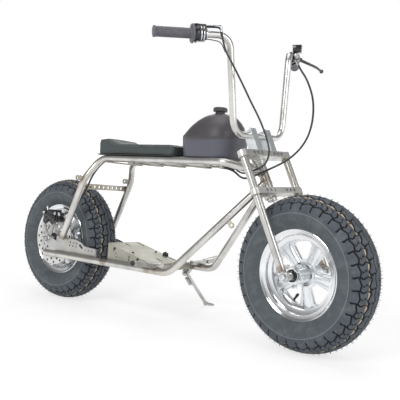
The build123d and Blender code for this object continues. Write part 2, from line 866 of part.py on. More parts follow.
dropout_inner = leg_half_width - dropout_thick / 2
dropout_outer = leg_half_width + dropout_thick / 2
with BuildPart() as front_axle:
    with BuildSketch(Plane.XZ.offset(-dropout_outer - 6)):
        Circle(axle_radius)
    extrude(amount=2 * dropout_outer + 12)
    for start, end in (
        (hub_right + head_gap, dropout_inner),
        (-dropout_inner, -hub_left - head_gap),
    ):
        with BuildSketch(Plane.XZ.offset(start)):
            Circle(spacer_radius)
        extrude(amount=end - start)
    for start in (dropout_outer, -dropout_outer - axle_head_height):
        with BuildSketch(Plane.XZ.offset(start)):
            RegularPolygon(axle_head_radius, 6)
        extrude(amount=axle_head_height)
front_axle.part = front_axle.part.moved(front_axle_place)
keep(front_axle, "front_axle", steering_pieces)

# Handlebar: points in the bar's own upright plane, ahead of and above the clamp
bar_foot = steer_plane.from_local_coords((fork_offset, 0, bar_height))
bar_points = []
for side, order in ((-1, 1), (1, -1)):
    bar_side = [
        (bar_foot.X - bar_end[0], side * bar_end[1], bar_foot.Z + bar_end[2]),
        (bar_foot.X - bar_riser_head[0], side * bar_riser_head[1], bar_foot.Z + bar_riser_head[2]),
        (bar_foot.X, side * bar_riser_foot, bar_foot.Z),
    ]
    bar_points += bar_side[::order]
bar_path = tube_path(bar_points, [bar_head_radius, bar_foot_radius, bar_foot_radius, bar_head_radius])
with BuildPart() as handlebar:
    with BuildSketch(tube_end(bar_path)):
        Circle(bar_tube)
    sweep(path=bar_path.line)
keep(handlebar, "handlebar", steering_pieces)

clamp_top = upper_clamp_middle + clamp_height / 2
with BuildPart() as bar_clamps:
    for start, height in ((clamp_top, bar_height - clamp_top), (bar_height, bar_cap_height)):
        split = bar_clamp_split / 2 if start == bar_height else 0
        with BuildSketch(steer_plane.offset(start + split)):
            with Locations((fork_offset, -bar_clamp_middle), (fork_offset, bar_clamp_middle)):
                Rectangle(bar_clamp_depth, bar_clamp_width)
        extrude(amount=height - bar_clamp_split / 2)
    with BuildSketch(Plane(origin=bar_foot, z_dir=(0, -1, 0), x_dir=steer_plane.x_dir)):
        Circle(bar_tube)
    extrude(amount=leg_half_width, both=True, mode=Mode.SUBTRACT)
keep(bar_clamps, "bar_clamps", steering_pieces)

for name, side in (("right", -1), ("left", 1)):
    tip = Vector(bar_foot.X - bar_end[0], side * bar_end[1], bar_foot.Z + bar_end[2])
    bend = Vector(bar_foot.X - bar_riser_head[0], side * bar_riser_head[1], bar_foot.Z + bar_riser_head[2])
    inward = (bend - tip).normalized()
    grip_plane = Plane(origin=tip, z_dir=inward, x_dir=Vector(0, 0, 1).cross(inward))
    with BuildPart() as grip:
        with BuildSketch(grip_plane.offset(-4)):
            Circle(grip_end_radius)
        extrude(amount=6)
        with BuildSketch(grip_plane.offset(2)):
            Circle(grip_radius)
        extrude(amount=grip_length - 2)
        if name == "right":
            with BuildSketch(grip_plane.offset(grip_length)):
                Circle(grip_flange_radius)
            extrude(amount=grip_flange_thick)
        with BuildSketch(grip_plane):
            Circle(bar_tube)
        extrude(amount=grip_length + grip_flange_thick, mode=Mode.SUBTRACT)
    keep(grip, "throttle_grip" if name == "right" else "left_grip", steering_pieces)
    if name == "right":
        housing_start = grip_length + grip_flange_thick + seat_clearance
        elbow_tip = placed_point(steer_place.inverse(), throttle_route[0])
        elbow_turn = placed_point(steer_place.inverse(), throttle_route[1]) - elbow_tip
        elbow_root = tip + inward * (housing_start + housing_length - 4) + Vector(0, 0, housing_half + 3)
        with BuildPart() as housing:
            with BuildSketch(grip_plane.offset(housing_start)):
                RectangleRounded(2 * housing_half - 6, 2 * housing_half, 8)
                with Locations((0, 14)):
                    RectangleRounded(22, 30, 5)
                Circle(bar_tube, mode=Mode.SUBTRACT)
            extrude(amount=housing_length)
            with BuildLine() as elbow_path:
                FilletPolyline(
                    elbow_root,
                    elbow_tip - elbow_turn.normalized() * 16,
                    elbow_tip,
                    radius=14,
                )
            with BuildSketch(tube_end(elbow_path)):
                Circle(elbow_radius)
            sweep(path=elbow_path.line)
        keep(housing, "throttle_housing", steering_pieces)
    else:
        reservoir = tip + inward * (grip_length + 28) + Vector(24, 0, 26)
        master_body = reservoir + Vector(2, 0, -28)
        with BuildPart() as master:
            with BuildSketch(grip_plane.offset(grip_length + 15)):
                Circle(bar_tube + 6)
                Circle(bar_tube, mode=Mode.SUBTRACT)
            extrude(amount=26)
            with BuildSketch(Plane(origin=reservoir, x_dir=inward, z_dir=(0, 0, 1))):
                RectangleRounded(38, 32, 4)
            extrude(amount=14, both=True)
            with BuildSketch(Plane(origin=master_body, x_dir=inward, z_dir=(0, 0, 1))):
                RectangleRounded(master_length, 20, 4)
            extrude(amount=8, both=True)
        keep(master, "brake_master", steering_pieces)

# Brake lever, hinged at the outer end of the master cylinder's body
lever_across = Vector(-inward.Y, inward.X, 0).normalized()
lever_pivot = master_body - inward * (master_length / 2 + lever_boss + seat_clearance) + lever_across * 7
lever_bend = Vector(bar_foot.X - 6, 294.0, bar_foot.Z + 279)
lever_tip = Vector(bar_foot.X - 52, 352.0, bar_foot.Z + 262)
with BuildPart() as lever:
    with BuildSketch(Plane(origin=lever_pivot, x_dir=inward, z_dir=(0, 0, 1))):
        Circle(lever_boss)
    extrude(amount=7, both=True)
    with BuildLine() as lever_path:
        FilletPolyline(lever_pivot, lever_bend, lever_tip, radius=24)
    with BuildSketch(Plane(origin=lever_path.line @ 0, z_dir=lever_path.line % 0)):
        Circle(5.5)
    sweep(path=lever_path.line)
    with BuildSketch(Plane(origin=lever_tip, z_dir=lever_path.line % 1)):
        Circle(8)
    extrude(amount=5, both=True)
keep(lever, "brake_lever", steering_pieces)

# Two eared tabs for a mudguard on the rear faces of the stays
ear_hole_radius = 4.25
ear_radius = 10.5
ear_thick = 3.0
ear_gap = 12.0
ear_reach = 31.0
ear_rise = 3.0
ear_eye = (stay_bend[0] - ear_reach, stay_bend[1] + ear_rise)
ear_back = 6.0
ear_parts = []
for side in (-1, 1):
    with BuildPart() as ear:
        for offset in (-ear_gap / 2 - ear_thick, ear_gap / 2):
            with BuildSketch(Plane.XZ.offset(-side * lower_half_width + offset)):
                with Locations(ear_eye):
                    Circle(ear_radius)
                with Locations((ear_eye[0] + ear_reach / 2, ear_eye[1])):
                    Rectangle(ear_reach, ear_radius + 4)
                with Locations(ear_eye):
                    Circle(ear_hole_radius, mode=Mode.SUBTRACT)
            extrude(amount=ear_thick)
        with BuildSketch(Plane.XZ.offset(-side * lower_half_width - ear_gap / 2)):
            with Locations((stay_bend[0] - frame_tube, ear_eye[1])):
                Rectangle(ear_back, ear_radius + 4)
        extrude(amount=ear_gap)
        add(upper_tubes["left" if side > 0 else "right"], mode=Mode.SUBTRACT)
    ear_parts.append(max(ear.part.solids(), key=lambda solid: solid.volume))
with BuildPart() as mudguard_ears:
    for ear_part in ear_parts:
        add(ear_part)
keep(mudguard_ears, "mudguard_ears", frame_pieces)

# Eared tab on the right down tube
coil_ear_place = 834.0
down_run = Vector(neck_end.X - lower_front[0], neck_end.Y - lower_half_width, neck_end.Z - lower_front[1])
down_share = (coil_ear_place - lower_front[0]) / down_run.X
down_middle = (
    coil_ear_place,
    -lower_half_width - down_run.Y * down_share,
    lower_front[1] + down_run.Z * down_share,
)
coil_plane = Plane(
    origin=down_middle,
    x_dir=(down_run.X, -down_run.Y, down_run.Z),
    z_dir=Vector(down_run.X, -down_run.Y, down_run.Z).cross(Vector(-down_run.Z, 0, down_run.X)),
)
with BuildPart() as coil_ear:
    with BuildSketch(coil_plane.offset(-ear_thick / 2)):
        with Locations((0, -frame_tube - 16)):
            Circle(ear_radius)
            Circle(ear_hole_radius, mode=Mode.SUBTRACT)
        with Locations((0, -frame_tube - 3)):
            Rectangle(2 * ear_radius - 4, 10)
    extrude(amount=ear_thick)
    add(lower_tubes["right"], mode=Mode.SUBTRACT)
keep(coil_ear, "coil_ear", frame_pieces)


def cord_radii(name, route):
    """Gives the bend radius at each inner point of a cord's route, and prints them."""
    radii = []
    for before, here, after in zip(route, route[1:], route[2:]):
        first = Vector(*here) - Vector(*before)
        second = Vector(*after) - Vector(*here)
        turn = radians(first.get_angle(second))
        radii.append(0.45 * min(first.length, second.length) / tan(turn / 2))
    print(name, "bend radii", [round(radius) for radius in radii])
    return radii


# Height of the floor and level of the leaning bike
def contact_height(place, centre):
    """Gives the height of a tyre's lowest point, taken as a ring of the crown's radius."""
    middle = placed_point(place, centre)
    axle = placed_point(place, (centre[0], centre[1] + 1, centre[2])) - middle
    return middle.Z - crown_centre * sqrt(1 - axle.Z**2) - crown_radius


rear_height = contact_height(lean_place, (0, 0, tyre_radius))
front_height = contact_height(lean_place * steer_place, (wheelbase, 0, tyre_radius))
pitch = degrees(atan2(front_height - rear_height, wheelbase))
level_place = Location((0, 0, 0), (0, pitch, 0)) * lean_place
floor_height = contact_height(level_place, (0, 0, tyre_radius))

# Side stand: a bent rod that reaches the floor beside the leaning bike
floor_up = placed_point(level_place.inverse(), (0, 0, 1)) - placed_point(level_place.inverse(), (0, 0, 0))
foot_height = (floor_height + stand_pad_radius - floor_up.X * stand_foot[0] - floor_up.Y * stand_foot[1]) / floor_up.Z
pivot = Vector(*stand_pivot)
foot = Vector(*stand_foot, foot_height)
leg_run = foot - pivot
stand_hinge = leg_run.cross(Vector(-1, 0, 0)).normalized()
stand_fold = leg_run.get_angle(Vector(-1, 0, 0))
hinge_plane = Plane(origin=pivot, z_dir=stand_hinge, x_dir=leg_run.normalized())
with BuildPart() as stand:
    with BuildSketch(hinge_plane.offset(-6)):
        Circle(13)
        Circle(stand_pin_radius + running_clearance, mode=Mode.SUBTRACT)
    extrude(amount=12)
    with BuildLine() as stand_path:
        FilletPolyline(
            hinge_plane.from_local_coords((10, 0, 0)),
            hinge_plane.from_local_coords((leg_run.length, 0, 0)),
            hinge_plane.from_local_coords((leg_run.length + 8, 0, 0)) + Vector(26, 14, 0),
            radius=10,
        )
    with BuildSketch(Plane(origin=stand_path.line @ 0, z_dir=stand_path.line % 0)):
        Circle(stand_rod)
    sweep(path=stand_path.line)
    with Locations(foot):
        Sphere(stand_pad_radius)
keep(stand, "side_stand", stand_pieces)

with BuildPart() as stand_bracket:
    with BuildSketch(hinge_plane.offset(-12)):
        Circle(stand_pin_radius)
    extrude(amount=24)
    with BuildSketch(hinge_plane.offset(6 + head_gap)):
        RectangleRounded(26, 24, 6)
    extrude(amount=20)
    add(lower_tubes["left"], mode=Mode.SUBTRACT)
keep(stand_bracket, "stand_bracket", frame_pieces)

# Cables and hose: a round tube along each route
clip_front = 816.0
clip_rear = 802.0
with BuildPart() as cable_clip:
    with BuildSketch(Plane.YZ.offset(clip_rear)):
        with Locations((-55.5, 567)):
            RectangleRounded(33, 26, 4)
    extrude(amount=clip_front - clip_rear)
keep(cable_clip, "cable_clip", frame_pieces)

cord_pieces = []
for label, route, diameter, group in (
    ("throttle_cable", throttle_route, throttle_diameter, cord_pieces),
    ("brake_hose", hose_route, hose_diameter, cord_pieces),
    ("brake_line", brake_line_route, hose_diameter, frame_pieces),
):
    cord_path = tube_path(route, cord_radii(label, route))
    with BuildPart() as cord:
        with BuildSketch(tube_end(cord_path)):
            Circle(diameter / 2)
        sweep(path=cord_path.line)
    run = sum(edge.length for edge in cord_path.edges())
    share = cord.part.volume / (run * pi * (diameter / 2) ** 2)
    print(label, "length", round(run), "volume against section times length", round(share, 4))
    keep(cord, label, group)

every = (
    (cord_pieces, level_place),
    (frame_pieces, level_place),
    (rear_wheel_pieces, level_place),
    (stand_pieces, level_place),
    (steering_pieces, level_place * steer_place),
    (front_wheel_pieces, level_place * steer_place),
)
placed = {}
for pieces, place in every:
    for piece in pieces:
        placed[piece.label] = piece.moved(place)
reach = Compound(list(placed.values())).bounding_box()
middle_x = (reach.min.X + reach.max.X) / 2
middle_y = (reach.min.Y + reach.max.Y) / 2
park = Location((-middle_x, -middle_y, -floor_height))
os.makedirs("parts", exist_ok=True)
for label, piece in placed.items():
    parked = piece.moved(park)
    parked.label = label
    export_step(parked, f"parts/{label}.step")
print("parked shift", -middle_x, -middle_y, -floor_height, "pitch", pitch, "size", reach.size)
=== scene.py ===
"""The looks of a bare-steel minibike rolling chassis that leans on its side stand.

Sizes are millimetres in the bike's own upright frame: X forward from the rear axle, Y to the
rider's left, Z up from the ground. The class Parking turns them into metres of the parked bike.
"""

from __future__ import annotations

import logging
from dataclasses import dataclass, field
from enum import Enum
from math import cos, hypot, pi, radians, sin, sqrt
from typing import Any, Callable, Optional, Sequence, Union

import bmesh
import bpy
import numpy as np
from mathutils import Matrix, Vector, noise
from mathutils.bvhtree import BVHTree
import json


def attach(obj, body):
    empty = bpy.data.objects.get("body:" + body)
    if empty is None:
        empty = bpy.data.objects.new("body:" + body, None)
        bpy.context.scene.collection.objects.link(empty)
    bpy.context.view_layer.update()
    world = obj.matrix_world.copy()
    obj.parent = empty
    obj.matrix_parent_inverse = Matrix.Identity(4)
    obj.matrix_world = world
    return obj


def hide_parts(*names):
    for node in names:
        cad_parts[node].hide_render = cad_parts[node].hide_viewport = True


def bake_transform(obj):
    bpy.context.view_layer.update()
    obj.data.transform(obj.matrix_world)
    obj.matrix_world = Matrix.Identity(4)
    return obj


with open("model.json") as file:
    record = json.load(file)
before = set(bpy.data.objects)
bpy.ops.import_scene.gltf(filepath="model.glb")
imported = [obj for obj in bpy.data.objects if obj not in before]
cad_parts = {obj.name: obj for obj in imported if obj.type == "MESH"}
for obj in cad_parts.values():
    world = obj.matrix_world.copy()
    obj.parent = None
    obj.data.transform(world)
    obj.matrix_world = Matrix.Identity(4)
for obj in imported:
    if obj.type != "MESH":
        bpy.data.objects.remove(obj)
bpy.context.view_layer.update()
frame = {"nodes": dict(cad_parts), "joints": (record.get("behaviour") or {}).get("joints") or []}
LOG = logging.getLogger("minibike")

Point = Sequence[float]
Pairs = tuple[tuple[float, float], ...]
Level = Union[float, "Wire"]


class Body(Enum):
    """The moving bodies of the bike."""

    FRAME = "frame"
    STEERING = "steering"
    FRONT_WHEEL = "front_wheel"
    REAR_WHEEL = "rear_wheel"
    STAND = "side_stand"


class Slot(Enum):
    """The record's material slots."""

    RAW = "raw_steel"
    MACHINED = "machined_steel"
    TYRE = "tyre"
    CAST = "cast_wheel"
    BLACK = "black_metal"
    TANK = "tank_paint"
    PLATE = "plate_paint"
    PLASTIC = "black_plastic"
    VINYL = "vinyl"
    RUBBER = "rubber"
    CONTROL = "control_alloy"
    PEG = "peg_metal"


def joint(name: str) -> dict[str, Any]:
    """Gives a joint of the CAD model by its name."""
    return next(j for j in frame["joints"] if j["name"] == name)


@dataclass(frozen=True)
class Parking:
    """Places of the parked bike: upright millimetres to metres of the leaning bike."""

    lean: float = 8.0
    pitch: float = -0.0304
    rest_steer: float = -6.2
    rake: float = 26.0
    offset: float = 27.9
    wheelbase: float = 1108.0
    tyre_radius: float = 244.0

    @property
    def rest(self) -> Vector:
        """The rear axle's middle in the parked frame, in metres."""
        return Vector(joint("rear_wheel_spin")["pos_m"])

    @property
    def level(self) -> Matrix:
        """The place of everything that doesn't steer."""
        turn = Matrix.Rotation(radians(self.pitch), 4, "Y") @ Matrix.Rotation(radians(-self.lean), 4, "X")
        scaled = turn @ Matrix.Scale(0.001, 4)
        return Matrix.Translation(self.rest - scaled @ Vector((0, 0, self.tyre_radius))) @ scaled

    @property
    def axis(self) -> Vector:
        """The steering axis, upwards, in the upright frame."""
        return Vector((-sin(radians(self.rake)), 0, cos(radians(self.rake))))

    @property
    def across(self) -> Vector:
        """The direction square to the steering axis that points forward."""
        return Vector((cos(radians(self.rake)), 0, sin(radians(self.rake))))

    @property
    def foot(self) -> Vector:
        """The point of the steering axis beside the front axle."""
        return Vector((self.wheelbase, 0, self.tyre_radius)) - self.across * self.offset

    @property
    def steered(self) -> Matrix:
        """The place of everything that steers."""
        swing = Matrix.Translation(self.foot) @ Matrix.Rotation(radians(self.rest_steer), 4, self.axis)
        return self.level @ swing @ Matrix.Translation(-self.foot)

    def fork(self, forward: float, side: float, up: float) -> Vector:
        """A point given from the foot of the steering axis: forward, to the left and up the axis."""
        return self.foot + self.across * forward + Vector((0, side, 0)) + self.axis * up


@dataclass(frozen=True)
class Mount:
    """A moving body and the place of the millimetres that its pieces are made in."""

    body: Body
    place: Matrix


BIKE = Parking()
ON_FRAME = Mount(Body.FRAME, BIKE.level)
ON_BARS = Mount(Body.STEERING, BIKE.steered)
ON_STAND = Mount(Body.STAND, BIKE.level)
AHEAD, LEFT, UP = Vector((1, 0, 0)), Vector((0, 1, 0)), Vector((0, 0, 1))
SQUARE = ((-1, -1), (1, -1), (1, 1), (-1, 1))


class Wire:
    """A socket of a node tree that takes part in sums, products and comparisons."""

    def __init__(self, ink: Ink, socket: bpy.types.NodeSocket) -> None:
        """Keeps the socket and the ink that made it."""
        self.ink = ink
        self.socket = socket

    def sum(self, operation: str, *terms: Level, swap: bool = False) -> Wire:
        """Makes one Math node.

        Args:
            operation: The Math node's operation.
            terms: What it takes after this socket.
            swap: Whether this socket comes second.

        Returns:
            The node's result.
        """
        order = (terms[0], self) if swap else (self, *terms)
        return self.ink.node("Math", {"operation": operation}, dict(enumerate(order)))

    def __add__(self, other: Level) -> Wire:
        """Adds."""
        return self.sum("ADD", other)

    __radd__ = __add__

    def __sub__(self, other: Level) -> Wire:
        """Subtracts."""
        return self.sum("SUBTRACT", other)

    def __rsub__(self, other: Level) -> Wire:
        """Is subtracted."""
        return self.sum("SUBTRACT", other, swap=True)

    def __mul__(self, other: Level) -> Wire:
        """Multiplies."""
        return self.sum("MULTIPLY", other)

    __rmul__ = __mul__

    def __pow__(self, other: Level) -> Wire:
        """Raises to a power."""
        return self.sum("POWER", other)

    def __abs__(self) -> Wire:
        """Takes the size without its sign."""
        return self.sum("ABSOLUTE")

    def most(self, other: Level) -> Wire:
        """Takes the greater of the two."""
        return self.sum("MAXIMUM", other)

    def least(self, other: Level) -> Wire:
        """Takes the lesser of the two."""
        return self.sum("MINIMUM", other)


@dataclass
class Ink:
    """Draws the nodes of one material or world."""

    tree: bpy.types.NodeTree

    def node(self, kind: str, settings: dict[str, Any], values: dict[Any, Any], out: Any = 0) -> Wire:
        """Makes a node of any kind.

        Args:
            kind: The node's type without its ShaderNode prefix.
            settings: Its own settings, set before its sockets; "stops" fills a colour ramp.
            values: A value or a link for each socket, by name or number.
            out: The output that is wanted, by name or number.

        Returns:
            That output.
        """
        node = self.tree.nodes.new(f"ShaderNode{kind}")
        for name, value in settings.items():
            if name == "stops":
                ramp = node.color_ramp.elements
                while len(ramp) < len(value):
                    ramp.new(1.0)
                for stop, (place, colour) in zip(ramp, value):
                    stop.position = place
                    stop.color = (*colour, 1.0)
            else:
                setattr(node, name, value)
        for name, value in values.items():
            if isinstance(value, Wire):
                self.tree.links.new(value.socket, node.inputs[name])
            elif node.inputs[name].type == "RGBA" and len(value) == 3:
                node.inputs[name].default_value = (*value, 1.0)
            else:
                node.inputs[name].default_value = value
        return Wire(self, node.outputs[out])

    def place(self) -> Wire:
        """Gives the point of the surface in the parked frame, in metres."""
        return self.node("TexCoord", {}, {}, "Object")

    def vector(self, operation: str, *terms: Any, out: Any = 0) -> Wire:
        """Makes one Vector Math node.

        Args:
            operation: Its operation.
            terms: Its vectors, as values or links.
            out: The wanted output: 0 for a vector, "Value" for a number.

        Returns:
            That output.
        """
        return self.node("VectorMath", {"operation": operation}, dict(enumerate(terms)), out)

    def noise(self, scale: float, detail: float = 2.0, rough: float = 0.5, at: Optional[Wire] = None) -> Wire:
        """Makes a noise between 0 and 1.

        Args:
            scale: Lumps for each metre.
            detail: How many finer layers it has.
            rough: How strong the finer layers are.
            at: Where it is read, the surface point when left out.

        Returns:
            The noise.
        """
        values = {"Vector": at or self.place(), "Scale": scale, "Detail": detail, "Roughness": rough}
        return self.node("TexNoise", {"noise_dimensions": "3D"}, values, "Fac")

    def fade(self, value: Level, low: float, high: float, first: float = 0.0, last: float = 1.0) -> Wire:
        """Maps a value smoothly from one range to another, held at both ends.

        Args:
            value: What is mapped.
            low: Where the result is first.
            high: Where the result is last.
            first: The result at low.
            last: The result at high.

        Returns:
            The mapped value.
        """
        values = {"Value": value, 1: low, 2: high, 3: first, 4: last}
        return self.node("MapRange", {"interpolation_type": "SMOOTHSTEP", "clamp": True}, values)

    def ramp(self, value: Level, stops: Sequence[tuple[float, Point]]) -> Wire:
        """Turns a value into a colour along the stops."""
        return self.node("ValToRGB", {"stops": stops}, {0: value}, "Color")

    def blend(self, share: Level, first: Any, second: Any) -> Wire:
        """Blends two colours.

        Args:
            share: How much of the second colour shows.
            first: The first colour, as a value or a link.
            second: The second colour, as a value or a link.

        Returns:
            The blended colour.
        """
        settings = {"data_type": "RGBA", "blend_type": "MIX", "clamp_factor": True}
        return self.node("Mix", settings, {0: share, 6: first, 7: second}, 2)

    def bump(self, height: Level, depth: float, strength: float = 1.0) -> Wire:
        """Makes a bump of a height between 0 and 1 that is depth metres high."""
        return self.node("Bump", {}, {"Height": height, "Distance": depth, "Strength": strength})

    def surface(self, **values: Any) -> None:
        """Ends the material with one shader.

        Args:
            values: Values or links of the shader's sockets, with _ for a space in their names.
        """
        shader = self.node("BsdfPrincipled", {}, {name.replace("_", " "): v for name, v in values.items()})
        self.end(shader)

    def end(self, shader: Wire) -> None:
        """Links a shader to the material's output."""
        output = self.tree.nodes.new("ShaderNodeOutputMaterial")
        self.tree.links.new(shader.socket, output.inputs["Surface"])

    def hub(self, centre: Point, axle: Point) -> tuple[Wire, Wire, Wire]:
        """Gives a wheel's own coordinates of the surface point.

        Args:
            centre: The wheel's middle in the parked frame, in metres.
            axle: The direction of its axle to the rider's left.

        Returns:
            The radius, the distance along the axle to the left and the vector square to the axle.
        """
        spoke = self.vector("SUBTRACT", self.place(), centre)
        along = self.vector("DOT_PRODUCT", spoke, axle, out="Value")
        sideways = self.node("VectorMath", {"operation": "SCALE"}, {0: axle, "Scale": along})
        flat = self.vector("SUBTRACT", spoke, sideways)
        return self.vector("LENGTH", flat, out="Value"), along, flat


@dataclass(frozen=True)
class Finish:
    """A named surface finish; each kind paints its own nodes."""

    name: str

    def paint(self, ink: Ink) -> None:
        """Draws the finish's nodes.

        Args:
            ink: Where they are drawn.
        """
        raise NotImplementedError

    def material(self) -> bpy.types.Material:
        """Gives the finish's material, made once.

        Returns:
            The material.
        """
        found = bpy.data.materials.get(self.name)
        if found is None:
            found = bpy.data.materials.new(self.name)
            found.use_nodes = True
            found.node_tree.nodes.clear()
            self.paint(Ink(found.node_tree))
        return found

    def dress(self, *nodes: str) -> None:
        """Gives this finish to CAD nodes that stay as they are.

        Args:
            nodes: The nodes' names.
        """
        for name in nodes:
            slots = frame["nodes"][name].data.materials
            slots.clear()
            slots.append(self.material())


@dataclass(frozen=True)
class BareSteel(Finish):
    """Bright, unpainted steel tube with mottled grey, warm stains and golden heat marks at its welds."""

    light: Point = (0.72, 0.71, 0.69)
    dark: Point = (0.50, 0.49, 0.47)
    warm: Point = (0.60, 0.55, 0.47)
    gloss: float = 0.20
    heat: tuple[tuple[float, float, float], ...] = ()
    heat_reach: float = 0.030

    def paint(self, ink: Ink) -> None:
        """Draws mottling, stains, fine scratches and heat marks.

        Args:
            ink: What draws the material's nodes.
        """
        place = ink.place()
        cloud = ink.noise(14.0, 4.0, 0.6)
        grain = ink.noise(420.0, 2.0, 0.6)
        stain = ink.fade(ink.noise(5.0, 3.0, 0.6), 0.48, 0.72)
        colour = ink.blend(ink.fade(cloud, 0.35, 0.75), self.light, self.dark)
        colour = ink.blend(stain * 0.55, colour, self.warm)
        if self.heat:
            near: Optional[Wire] = None
            for spot in self.heat:
                reach = ink.vector("DISTANCE", place, spot, out="Value")
                near = reach if near is None else near.least(reach)
            near = near + (cloud - 0.5) * 0.016
            blue = ink.fade(near, self.heat_reach * 0.55, self.heat_reach * 0.8)
            gold = 1.0 - ink.fade(near, self.heat_reach * 0.4, self.heat_reach)
            colour = ink.blend(gold * 0.65, colour, (0.46, 0.33, 0.17))
            colour = ink.blend((1.0 - blue) * 0.5, colour, (0.26, 0.24, 0.27))
        rough = self.gloss + cloud * 0.14 + grain * 0.08
        ink.surface(
            Base_Color=colour,
            Metallic=1.0,
            Roughness=rough,
            Normal=ink.bump(grain * 0.5 + cloud, 0.00018, 0.6),
        )


@dataclass(frozen=True)
class Bright(Finish):
    """A plain bright metal with light smears: fasteners, clamps, levers."""

    light: Point = (0.72, 0.74, 0.77)
    dark: Point = (0.50, 0.52, 0.55)
    gloss: float = 0.22
    lump: float = 60.0

    def paint(self, ink: Ink) -> None:
        """Draws soft smears and a fine grain.

        Args:
            ink: What draws the material's nodes.
        """
        smear = ink.noise(self.lump, 3.0, 0.55)
        grain = ink.noise(900.0, 1.0, 0.5)
        ink.surface(
            Base_Color=ink.blend(ink.fade(smear, 0.4, 0.7), self.light, self.dark),
            Metallic=1.0,
            Roughness=self.gloss + smear * 0.12,
            Normal=ink.bump(grain, 0.00006, 0.5),
        )


@dataclass(frozen=True)
class CastAlloy(Finish):
    """Polished rim and lightly sand-textured casting of one wheel, told apart by its radius."""

    centre: tuple[float, float, float] = (0.0, 0.0, 0.0)
    axle: tuple[float, float, float] = (0.0, 1.0, 0.0)
    # strength of the painted shade on the satin face behind a brake disc
    dust_and_shade: float = 0.0

    def paint(self, ink: Ink) -> None:
        """Draws a polished outer rim, a satin middle with lathe lines and painted shade behind a brake disc.

        Args:
            ink: What draws the material's nodes.
        """
        radius, along, _ = ink.hub(Vector(self.centre), Vector(self.axle))
        satin = 1.0 - ink.fade(radius, 0.098, 0.106)
        cloud = ink.noise(30.0, 3.0, 0.55)
        sand = ink.noise(1400.0, 2.0, 0.6)
        lines = (radius * 5200.0).sum("SINE") * 0.5 + 0.5
        colour = ink.blend(cloud, (0.86, 0.87, 0.88), (0.74, 0.75, 0.77))
        colour = ink.blend(satin * 0.6, colour, (0.84, 0.88, 0.91))
        # painted shade: the satin casting on the disc's side is darkened where the brake disc shades it
        painted_disc_shade = satin * (1.0 - ink.fade(along, -0.030, -0.004)) * self.dust_and_shade
        ink.surface(
            Base_Color=ink.blend(painted_disc_shade, colour, (0.045, 0.046, 0.050)),
            Metallic=1.0,
            Roughness=ink.fade(cloud, 0.3, 0.7, 0.10, 0.17) + satin * 0.16 + painted_disc_shade * 0.25,
            Normal=ink.bump(sand * satin * 0.7 + lines * (1.0 - satin) * 0.25, 0.00008, 0.7),
        )


@dataclass(frozen=True)
class Turned(Finish):
    """Steel turned or ground in rings about one axle: disc, sprocket, axle ends."""

    centre: tuple[float, float, float] = (0.0, 0.0, 0.0)
    axle: tuple[float, float, float] = (0.0, 1.0, 0.0)
    colour: Point = (0.64, 0.64, 0.63)
    wiped: float = 0.085
    # drills and edge: each drilled hole gets a spot of painted shade that fades out between the two edge
    # distances
    drills: tuple[tuple[float, float], ...] = ()
    count: int = 15
    edge: tuple[float, float] = (0.0042, 0.0060)

    def paint(self, ink: Ink) -> None:
        """Draws fine rings, a brighter ring where the pads wipe it and painted shade round its drilled holes,
        wider than the holes.

        Args:
            ink: What draws the material's nodes.
        """
        radius, _, spoke = ink.hub(Vector(self.centre), Vector(self.axle))
        lines = (radius * 7000.0).sum("SINE") * 0.5 + 0.5
        cloud = ink.noise(26.0, 3.0, 0.6)
        wipe = ink.fade(radius, self.wiped - 0.004, self.wiped)
        colour = ink.blend(cloud * 0.6, self.colour, (0.48, 0.47, 0.45))
        colour = ink.blend(wipe * 0.4, colour, (0.78, 0.78, 0.78))
        turn = BIKE.level.to_3x3()
        for ring, start in self.drills:
            across, up = (ink.vector("DOT_PRODUCT", spoke, turn @ way, out="Value") for way in (AHEAD, UP))
            angle = up.sum("ARCTAN2", across) * (self.count / (2 * pi))
            arc = (angle - start * self.count / 360.0).sum("PINGPONG", 0.5) * (2 * pi * ring / self.count)
            reach = (arc * arc + (radius - ring) ** 2.0).sum("SQRT")
            # painted shade: a near-black spot round each drilled hole, wider than the hole itself
            colour = ink.blend((1.0 - ink.fade(reach, *self.edge)) * 0.92, colour, (0.03, 0.03, 0.034))
        ink.surface(
            Base_Color=colour,
            Metallic=1.0,
            Roughness=0.34 - wipe * 0.10 + cloud * 0.1,
            Normal=ink.bump(lines, 0.00003, 0.8),
        )


